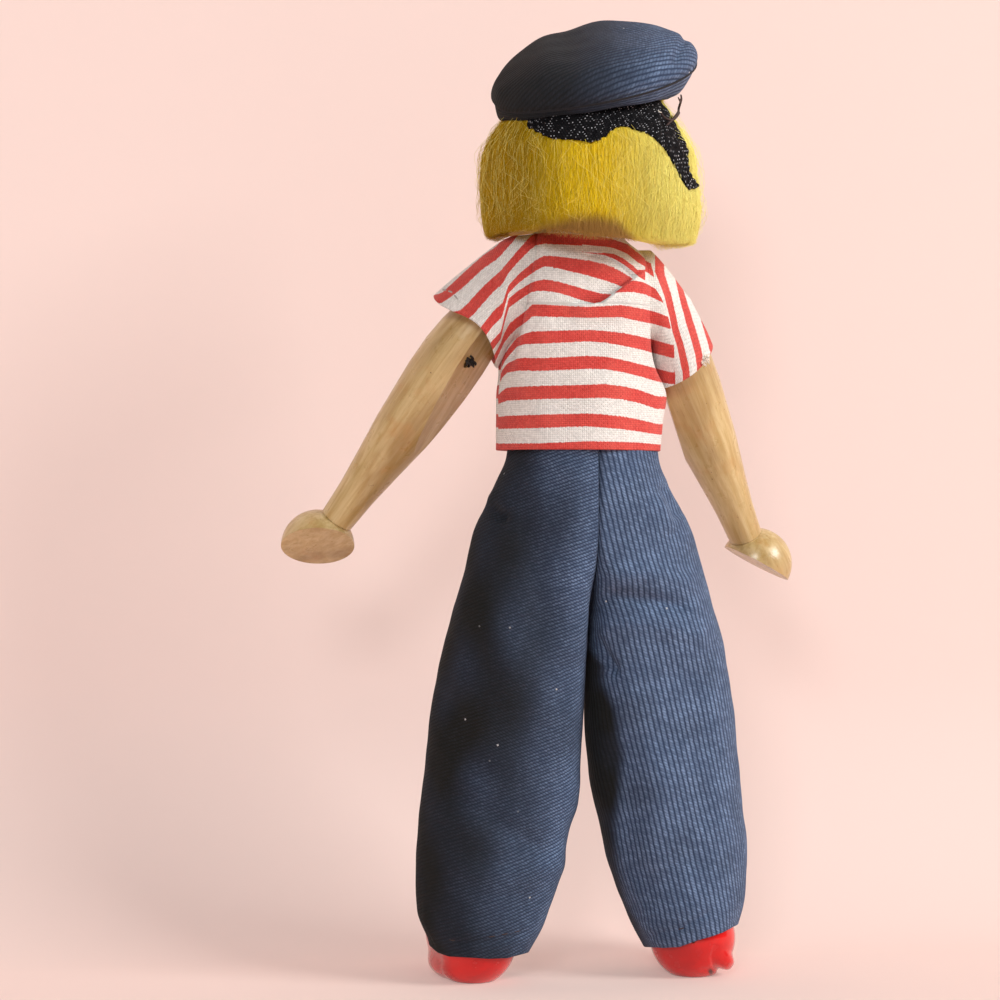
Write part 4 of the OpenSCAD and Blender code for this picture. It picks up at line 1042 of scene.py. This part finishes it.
def build_cap():
    cols = 220
    t = (np.arange(cols) * 2 * np.pi / cols)[None, :]
    step = walked(CROWN * [CAP_R, CAP_H])
    s = np.linspace(0, step[-1], 70)
    share = through(step, CROWN, s)
    r, h = share[:, 0][:, None], share[:, 1][:, None]
    swell = 1 + 0.16 * r * np.cos(t - math.radians(170))
    top = RIM + hoop(r * CAP_R, h * CAP_H * swell, t, *RIM_LEAN)
    n = grid_normals(top)
    n = n * np.where((n * leant(np.array([0, 0, 1.0]), *RIM_LEAN)).sum(-1).mean() < 0, -1, 1)
    px = pixel(top)
    bend = (
        crease(px, [(580, 60), (610, 66), (640, 64)], -0.25, 12)
        + crease(px, [(689, 36), (684, 48), (680, 58)], -0.6, 4.5)
        + crease(px, [(505, 80), (545, 88), (600, 92)], 0.25, 9)
    )
    rough = 0.15 * lumps(top, 15, 5) + 0.08 * lumps(top, 6, 6)
    off = rough * ease(0, 0.3, r) * ease(1.0, 0.93, r) + bend * ease(0, 0.15, r) * ease(1.0, 0.96, r)
    top = top + n * off[..., None]
    u = px[..., 0]
    hills = 1.1 * np.exp(-(((u - 602) / 32) ** 2)) + 0.9 * np.exp(-(((u - 548) / 18) ** 2))
    top[..., 2] += hills * ease(1, 0.8, r)
    sag = 2.8 * np.exp(-(((np.mod(t + math.pi, 2 * math.pi) - math.pi) / 0.9) ** 2))
    top[..., 2] -= sag * r**4
    under_s = np.linspace(0, 1, 26)[:, None]
    rim = RIM + hoop(SEAM_R, -0.4, t, *RIM_LEAN)
    rim[..., 2] -= sag * (SEAM_R / CAP_R) ** 4
    mouth = np.array([HEAD_X, 0, HEAD_Z]) + hoop(MOUTH_R, MOUTH_H, t, *MOUTH_LEAN)
    bulge = through([0, 0.3, 0.65, 1], [0, 0.7, 1, 0], under_s[:, 0])[:, None]
    under = (1 - under_s[..., None]) * rim + under_s[..., None] * mouth
    outwards = np.stack([np.cos(t), np.sin(t), 0 * t], -1)
    under = under + 0.5 * bulge[..., None] * outwards
    under[..., 2] -= 0.9 * bulge + 0.12 * bulge * np.cos(9 * t + 1)
    around = np.arange(cols + 1) * 2 * np.pi / cols
    s_all = s[:, None] + 0 * around[None, :]
    # The ridges are arcs round a place in front of the cap, where its pattern's centre can't be seen
    shifted = np.stack([s_all * np.cos(around) - 6, s_all * np.sin(around) + 30.0], -1)
    ring = np.hypot(shifted[..., 0], shifted[..., 1])
    uv_top = np.stack([ring, np.arctan2(shifted[..., 1], shifted[..., 0]) * 34], -1)
    # Painted light: the cap cloth is near black on the doll's left and paler and bluer towards its lit right
    wear_and_side_light = [(500, 0.0), (570, 0.08), (610, 0.32), (660, 0.85)]
    side_light_tones = [at(wear_and_side_light, pixel(q)[..., 0]) for q in (top, under)]
    o_top = skin("cap_crown", top, CAP_CLOTH, uv_top, {"tone_and_light": side_light_tones[0]}, thickness=0.5)
    uv_under = np.stack([under_s * 6 + 0 * around[None, :], around[None, :] * 19 + 0 * under_s], -1)
    o_under = skin("cap_rim", under, CAP_CLOTH, uv_under, {"tone_and_light": side_light_tones[1]}, thickness=0.5)
    seam = RIM + hoop(SEAM_R, -0.32, t[0], *RIM_LEAN)
    seam[:, 2] -= sag[0] * (SEAM_R / CAP_R) ** 4
    o_seam = tubes("cap_piping", [np.vstack([seam, seam[:2]])], 0.26, LINING, sides=8)
    return o_top, o_under, o_seam


cap_crown, cap_rim, cap_piping = build_cap()
for o, node in ((cap_crown, "cap_top"), (cap_rim, "cap_underside")):
    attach(o, "head")
    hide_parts(node)
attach(cap_piping, "head")

# Hair
# Height and radius in mm of the bob's outside, from the head's middle. The left side is fuller than the right
WIG_OUT = np.array([
    [13, 12.4], [10.2, 14.2], [7.6, 15.8], [5.95, 16.8], [2.6, 19.0], [-0.8, 20.7], [-3.4, 21.0],
    [-9.3, 21.4],
    [-14.4, 21.2], [-18, 20.4]])


def hair_radius(z, a):
    return through(WIG_OUT[:, 0] + HEAD_Z, WIG_OUT[:, 1], z) + 0.6 * np.cos(a) * ease(150, 163, z)


def hair_bottom(a):
    """Height at which the bob ends, by the angle round the head: lower on the doll's right."""
    right_lobe, nape = np.exp(-(((a - 2.1) / 0.5) ** 2)), np.exp(-(((a - 1.35) / 0.5) ** 2))
    return HEAD_Z - 17.0 + 0.5 * np.cos(a) - 1.6 * right_lobe - 1.7 * nape


# Below this line of the picture the hair is brown and short, partly as painted shade
NAPE_ARCH = [(505, 262), (520, 244), (545, 225), (575, 216), (600, 214), (620, 219), (635, 234),
    (648, 256), (700, 290)]


def hair_values(p):
    u, v = pixel(p)[..., 0], pixel(p)[..., 1]
    # side paints light and shade from the doll's left to its right; nape paints the brown nape, partly
    # painted shade
    nape = 0.9 * ease(-6, 9, v - at(NAPE_ARCH, u)) * ease(0, 6, p[..., 1])
    return {"side": ease(490, 705, u), "nape": nape}


def build_hair():
    cols, first, last = 230, math.radians(-34), math.radians(214)
    a = np.linspace(first, last, cols)[None, :]
    outer = np.linspace(0.6, -1.06, 60)
    z = HEAD_Z + outer * HEAD_R
    within = np.array([19.3, 17.5, 14.5, 11.0, 8.0, 5.5, 5.5])
    low = HEAD_Z + np.array([-18.1, -18.0, -17.8, -17.5, -17.1, -16.5, -14.0])
    path_z = np.concatenate([[HEAD_Z + 0.6 * HEAD_R], z, low])
    path_r = np.concatenate([
        [[HEAD_R * 0.84 + 0.3] * cols], hair_radius(z[:, None], a) - 0.3,
        np.repeat(within[:, None], cols, 1)])
    cut = ease(160, 147, path_z)[:, None] * (hair_bottom(a) - (HEAD_Z - 18.1))
    p = np.stack([
        HEAD_X + path_r * np.cos(a), path_r * np.sin(a), path_z[:, None] + cut + 0 * a], -1)
    clump = 0.16 * np.sin(a * 47) * np.sin(a * 31 + 1) + 0.1 * np.sin(a * 90)
    p[..., 0] += clump * np.cos(a)
    p[..., 1] += clump * np.sin(a)
    n = len(path_z)
    faces = grid_faces(n, cols, False)
    # Close the two ends over the face
    ends = []
    for k in (0, cols - 1):
        ring = np.arange(n) * cols + k
        for j in range(1, n // 2):
            ends.append([ring[j - 1], ring[j], ring[n - 1 - j], ring[n - j]])
    faces = np.vstack([faces, np.array(ends)])
    return make("hair_base", p.reshape(-1, 3), faces, HAIR_BASE, values=hair_values(p))


hair_base = build_hair()
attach(hair_base, "head")
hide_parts("wig")


RIBBON_LOW = [
    (530, 126), (541, 131), (553, 137), (578, 139), (595, 141), (607, 136), (618, 127), (627, 125),
    (639, 128),
    (655, 135), (667, 147), (673, 156), (682, 172), (687, 182), (694, 188), (702, 186)]
RIBBON_HIGH = [
    (531, 118), (540, 108), (552, 104), (578, 102), (598, 100), (612, 98), (624, 96), (636, 95), (648, 95),
    (662, 99), (676, 119), (684, 134), (691, 149), (691, 162), (694, 174), (701, 183)]


def build_strands(name, count, depth, lift, thick, seed, low_only=False, curl=1.0, pale=0.0):
    """Fine hairs that lie on the bob in locks, from depth mm under its outside to lift mm over it."""
    steps, sides = 11, 3
    made = np.random.default_rng(seed)
    a = made.uniform(math.radians(-33), math.radians(213), count)
    begin = made.uniform(0, 1, count) ** 1.4
    z0 = HEAD_Z + (-8 - 6 * begin if low_only else 10 - 24 * begin)
    z1 = np.maximum(z0 - made.uniform(9, 24, count), hair_bottom(a) - made.uniform(-0.6, 1.2, count))
    lock = np.sort(made.uniform(math.radians(-33), math.radians(213), 150))
    pull = lock[np.clip(np.searchsorted(lock, a), 0, 149)] - a
    pull = np.where(np.abs(pull) < 0.06, pull, 0) * made.uniform(0.2, 0.9, count)
    sway = made.normal(0, 0.05, count)
    phase = made.uniform(0, 6.28, (3, count, 1))
    out = made.uniform(-depth, lift, count)
    tip = made.uniform(-0.8, 0.7, count)
    w = np.linspace(0, 1, steps)
    z = z0[:, None] + (z1 - z0)[:, None] * w
    angle = a[:, None] + pull[:, None] * np.sin(math.pi * w * 0.8) + sway[:, None] * w
    angle = angle + curl * (0.02 * np.sin(5 * w + phase[0]) + 0.008 * np.sin(14 * w + phase[1]))
    over = out[:, None] * np.sin(np.pi * np.clip(w * 0.9 + 0.1, 0, 1)) ** 0.5
    over = over + curl * 0.12 * np.sin(12 * w + phase[2])
    r = hair_radius(z, angle) + over + tip[:, None] * w**3 - 0.05
    line = np.stack([HEAD_X + r * np.cos(angle), r * np.sin(angle), z], -1)
    # Hairs are pressed flat where the ribbon lies
    px = pixel(line)
    u, v = px[..., 0], px[..., 1]
    covered = (v > at(RIBBON_HIGH, u) - 1) & (v < at(RIBBON_LOW, u) + 1) & (u > 529) & (u < 702)
    r = np.where(covered, np.minimum(r, hair_radius(z, angle) + 0.1), r)
    line = np.stack([HEAD_X + r * np.cos(angle), r * np.sin(angle), z], -1)
    taper = (1 - 0.7 * w**2) * (0.35 + 0.65 * ease(0, 0.15, w))
    radius = thick * made.uniform(0.7, 1.3, count)[:, None] * taper
    along = unit(np.gradient(line, axis=1))
    away = np.stack([np.cos(angle), np.sin(angle), 0 * angle], -1)
    e1 = unit(np.cross(along, away))
    e2 = np.cross(e1, along)
    k = 2 * np.pi * np.arange(sides) / sides + np.pi / 2
    ring = np.cos(k)[:, None] * e1[:, :, None] + np.sin(k)[:, None] * e2[:, :, None]
    verts = (line[:, :, None] + radius[..., None, None] * ring).reshape(-1, 3)
    base = grid_faces(steps, sides)
    faces = (base[None] + (np.arange(count) * steps * sides)[:, None, None]).reshape(-1, 4)
    values = hair_values(verts)
    values["tone_and_light"] = np.repeat(np.clip(made.normal(0.5 + pale, 0.24, count), 0, 1), steps * sides)
    return make(name, verts, faces, HAIR, values=values)


for o in (
    build_strands("hair_strands", 12500, 0.25, 0.5, 0.05, 5),
    build_strands("hair_ends", 3200, 6.5, 0.2, 0.06, 6, True),
    build_strands("hair_flyaways", 420, 0.0, 1.6, 0.034, 9, curl=5.0, pale=0.35),
):
    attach(o, "head")


# Ribbon
def lifted(z, a):
    return hair_radius(z, a) + 0.75


def build_ribbon():
    low, high = np.array(RIBBON_LOW, float), np.array(RIBBON_HIGH, float)
    key = np.linspace(0, 1, len(low))
    s = np.linspace(0, 1, 240)
    low, high = through(key, low, s), through(key, high, s)
    made = np.random.default_rng(4)
    low[:, 1] += 0.6 * np.convolve(made.normal(0, 1.1, 244), [0.3, 0.4, 0.3], "same")[:240]
    w = np.linspace(0, 1, 26)
    px = high[None] * (1 - w)[:, None, None] + low[None] * w[:, None, None]
    p = on_round(px[..., 0], px[..., 1], lifted)
    out = unit((p - [HEAD_X, 0, 0]) * [1, 1, 0])
    ripple = 0.16 * np.sin(s[None] * 150 + 3 * w[:, None]) * np.sin(w[:, None] * 9 + 1)
    ripple = ripple + 0.12 * lumps(p, 2.5, 8)
    p = p + out * ripple[..., None]
    x = walked(p[len(w) // 2])[None] + 0 * w[:, None]
    y = np.linalg.norm(p - p[:1], axis=-1)
    uv = np.stack([x, y], -1)
    rows, cols = p.shape[:2]
    faces, corner = grid_faces(rows, cols, False), grid_uv(uv).reshape(-1, 4, 2)
    verts = p.reshape(-1, 3)
    faces, corner = outward(faces, verts, np.array([HEAD_X, 0, HEAD_Z]), corner)
    return thicken(make("ribbon", verts, faces, CREPE, corner), 0.35)


ribbon = build_ribbon()
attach(ribbon, "head")
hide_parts("ribbon_band", "ribbon_tail")

# Shoes
HEEL_R, TOE_R, REACH, SPRING = 8.6, 6.0, 16.5, 4.6
HEEL_Z = HEEL_R - 1.2
SPLAY = math.radians(8)
SHOE_X = HIP_X + (HIP_Z - HEEL_Z) * math.tan(SPLAY)
TOE_OUT = 0.23 * REACH


def build_shoe(side):
    """A round shoe swept from its heel over its waist to its toe, flat below."""
    centres = np.array([
        [SHOE_X, 0.12 * HEEL_R, HEEL_Z], [SHOE_X + TOE_OUT / 2, 0.12 * HEEL_R - REACH / 2, HEEL_Z - 0.3],
        [SHOE_X + TOE_OUT, 0.12 * HEEL_R - REACH, HEEL_Z + SPRING]])
    radii = np.array([HEEL_R, 0.93 * HEEL_R, TOE_R])
    key = np.array([0, 0.5, 1])
    s = np.linspace(0, 1, 40)
    line, radius = through(key, centres, s), through(key, radii, s)
    way = unit(np.gradient(line, axis=0))
    cols = 110
    a = 2 * np.pi * np.arange(cols) / cols
    e1 = unit(np.cross(way, [0, 0, 1.0]))
    e2 = np.cross(e1, way)
    # Rings by their middle, radius and place on the line, with round caps at both ends
    last = len(s) - 1
    cap = np.linspace(math.pi / 2, 0.03, 26)
    rings = [(line[0] - way[0] * radius[0] * math.cos(q), radius[0] * math.sin(q), 0) for q in cap[::-1]]
    rings += [(line[k], radius[k], k) for k in range(1, last)]
    rings += [(line[-1] + way[-1] * radius[-1] * math.cos(q), radius[-1] * math.sin(q), last) for q in cap]
    p = np.array([c + r * (np.cos(a)[:, None] * e1[k] + np.sin(a)[:, None] * e2[k]) for c, r, k in rings])
    p[..., 0] *= side
    n = unit(p - np.array([ring[0] * [side, 1, 1] for ring in rings])[:, None])
    px = pixel(p)
    back = ease(-1, 3, p[..., 1] - 1.0)
    chip = np.zeros(px.shape[:-1])
    if side < 0:
        bump_far = np.hypot(px[..., 0] - 728, (px[..., 1] - 959) * 0.85)
        bend = (
            1.3 * ease(10.5, 2.5, bump_far)
            + crease(px, [(719, 945), (716, 955), (717, 963), (722, 968)], -0.55, 2.6)
            + crease(px, [(706, 968), (722, 967), (728, 970)], -0.2, 2.0)
        )
        chip = np.exp(-((np.hypot(px[..., 0] - 713.5, px[..., 1] - 970) / 2.6) ** 4)) * back
        p = p + n * (bend * back)[..., None]
    else:
        # The left heel is narrower on its outer side
        p[..., 0] -= 0.2 * np.maximum(p[..., 0] - SHOE_X, 0) * ease(0.5, 5, p[..., 2])
    p[..., 2] = np.maximum(p[..., 2], 0.0)
    verts = p.reshape(-1, 3)
    faces = outward(grid_faces(len(rings), cols), verts, verts.mean(0))[0]
    which = SIDES[side]
    o = make(which + "_shoe_red", verts, faces, RED, values={"chip": chip})
    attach(o, which + "_leg")
    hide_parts(which + "_shoe")


build_shoe(1)
build_shoe(-1)


# Threads
def dashes(points, length, gap):
    """Short runs along a line of points, for running stitches."""
    place = walked(points)
    runs = []
    begin = 0.0
    while begin + length < place[-1]:
        where = np.linspace(begin, begin + length, 6)
        runs.append(np.stack([np.interp(where, place, points[:, k]) for k in range(3)], -1))
        begin += length + gap
    return runs


MOUTH_STITCHES = [
    (445, 290), (454.6, 292), (461.7, 300.5), (471, 312), (480, 324), (486, 338), (490, 347), (494, 356)]
line = seen_at(left_points, MOUTH_STITCHES, 0.12)
stitches = tubes("sleeve_stitches", dashes(line, 1.5, 0.7), 0.17, GREY_THREAD)
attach(stitches, "left_arm")

HEM_STITCHES = {1: [(452, 941), (463, 942), (492, 938), (507, 935), (528, 930)], -1: [(640, 928),
    (664, 929), (684, 927), (710, 918)]}
for side, points in ((1, left_leg_points), (-1, right_leg_points)):
    which = SIDES[side]
    line = seen_at(points, HEM_STITCHES[side], 0.02)
    stitches = tubes(which + "_hem_stitches", dashes(line, 1.3, 1.4), 0.13, DARK_THREAD)
    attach(stitches, which + "_leg")


def frayed(name, middle, count, size, seed, radius=0.07):
    """A small tuft of curled yarn ends round a point."""
    made = np.random.default_rng(seed)
    lines = []
    for _ in range(count):
        way = unit(made.normal(size=3))
        bend = made.normal(size=3) * 0.7
        w = np.linspace(0, 1, 9)[:, None]
        lines.append(middle + size * made.uniform(0.4, 1.0) * (w * way + np.sin(3 * w) * bend * w))
    return tubes(name, lines, radius, THREAD, sides=5)


FRAY = [(707, 356), (709, 360), (705, 362)]
for k, place in enumerate(seen_at(right_points, FRAY, 0.3)):
    tuft = frayed("sleeve_fray_%d" % k, place, 16, 0.9, 60 + k, 0.09)
    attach(tuft, "right_arm")

# The arm cords end in small tied knots with frayed ends
for which, arm in (("left", LEFT_ARM), ("right", RIGHT_ARM)):
    low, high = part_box(which + "_arm_knot")
    middle = (np.array([(low[k] + high[k]) / 2 for k in range(3)]) - SHIFT) / MM
    middle = middle - 0.9 * np.array(arm_way(arm))
    made = np.random.default_rng(81)
    loops = []
    w = np.linspace(0, 2 * np.pi, 22)[:, None]
    for _ in range(4):
        e1, e2 = np.linalg.qr(made.normal(size=(3, 2)))[0].T
        loops.append(middle + 0.8 * (np.cos(w) * e1 + np.sin(w) * e2) + made.normal(size=3) * 0.15)
    for _ in range(7):
        way = made.normal(size=3) + [0, 0.6, -0.6]
        w2 = np.linspace(0, 1, 9)[:, None]
        curl = 0.4 * np.sin(4 * w2) * made.normal(size=3)
        loops.append(middle + 1.7 * w2 * unit(way) + curl)
    tied = tubes(which + "_tied_knot", loops, 0.24, BLACK_CORD, sides=6)
    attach(tied, which + "_arm")
    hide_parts(which + "_arm_knot")

# A loop of dark thread holds the ribbon to the cap
LOOP = [(663, 112), (669, 118), (676, 119), (682, 112), (684, 104), (681, 97)]
LOOP_BACK = [(669, 125), (674, 120), (680, 113), (682, 107), (685, 99), (684, 94)]


def thread_radius(z, a):
    return hair_radius(z, a) + 2 + 2.8 * ease(172, 176.5, z)


def over_hair(spots):
    """A smooth thread over the hair, through pixels of the picture."""
    spots = np.array(spots, float)
    spots = through(np.linspace(0, 1, len(spots)), spots, np.linspace(0, 1, 30))
    return on_round(spots[:, 0], spots[:, 1], thread_radius)


loop_lines = [over_hair(LOOP), over_hair(LOOP_BACK)]
loop = tubes("ribbon_thread", loop_lines, 0.24, DARK_THREAD)
knot = frayed("ribbon_knot", loop_lines[0][0], 5, 0.5, 71, 0.12)
for o in (loop, knot):
    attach(o, "head")

# Floor, backdrop and light
# Shares of the backdrop's brightness that come from the lamps and from itself, for the camera only
BACKDROP_LIT, BACKDROP_OWN = 0.58, 0.34


def build_stage():
    """A floor that bends up into a backdrop close behind the doll's face."""
    depth, near, wide, tall, bend_r = -0.07, 1.2, 2.2, 2.2, 0.055
    a = np.linspace(0, math.pi / 2, 24)
    flat = np.linspace(near, depth + bend_r, 14)[:-1]
    y = np.concatenate([flat, depth + bend_r - bend_r * np.sin(a), [depth]])
    z = np.concatenate([0 * flat, bend_r - bend_r * np.cos(a), [tall]])
    x = np.linspace(-wide, wide, 24)
    p = np.stack([x[None] + 0 * y[:, None], y[:, None] + 0 * x[None], z[:, None] + 0 * x[None]], -1)
    p = (p - SHIFT) / MM
    faces = grid_faces(len(y), len(x), False)[:, ::-1]
    o = make("floor", p.reshape(-1, 3), faces, floor_paint())


def floor_paint():
    """Pale pink that keeps the doll's shadow: part of its brightness is its own, for the camera only.

    Its back is clear, so that the doll's face can be seen from behind the backdrop.
    """
    p = Paint("pale_pink", 0.95, Specular_IOR_Level=0.05)
    rays = [p.node("ShaderNodeLightPath", (), kind) for kind in ("Is Camera Ray", "Is Glossy Ray")]
    lit = p.math("MAXIMUM", *rays)
    pink = srgb(247, 222, 214)
    p.colour(p.mix(lit, pink, tuple(BACKDROP_LIT * c for c in pink[:3]) + (1,)))
    p.put(p.shader.inputs["Emission Color"], pink)
    p.put(p.shader.inputs["Emission Strength"], lit * BACKDROP_OWN)
    behind = p.node("ShaderNodeNewGeometry", (), "Backfacing")
    paint, clear = Value(p, p.shader.outputs[0]), p.node("ShaderNodeBsdfTransparent")
    p.put(p.out.inputs[0], p.node("ShaderNodeMixShader", {0: behind, 1: paint, 2: clear}))
    return p.material


build_stage()
world = bpy.data.worlds.new("world")
bpy.context.scene.world = world
world.use_nodes = True
sky = world.node_tree.nodes["Background"].inputs
sky["Color"].default_value = (1.0, 0.98, 0.96, 1)
sky["Strength"].default_value = 0.22


def lamp(name, place, size, power_w, colour=(1, 1, 1)):
    data = bpy.data.lights.new(name, "AREA")
    data.shape, data.size, data.size_y, data.energy, data.color = "RECTANGLE", size, size, power_w, colour
    o = bpy.data.objects.new(name, data)
    bpy.context.scene.collection.objects.link(o)
    o.location = place
    o.rotation_euler = (Vector((0, 0, 0.1)) - Vector(place)).to_track_quat("-Z", "Y").to_euler()


def round_doll(right, toward, height):
    """A place given by the way right and towards the camera, in metres."""
    v = right * RIGHT + toward * TOWARD
    return (v[0], v[1], height)


lamp("key", round_doll(1.85, 0.75, 1.2), 0.9, 46.0, (1.0, 0.98, 0.95))
lamp("fill", round_doll(-0.35, 1.9, 0.9), 0.5, 15.0, (0.98, 0.99, 1.0))

bpy.context.scene.view_settings.view_transform = "Standard"
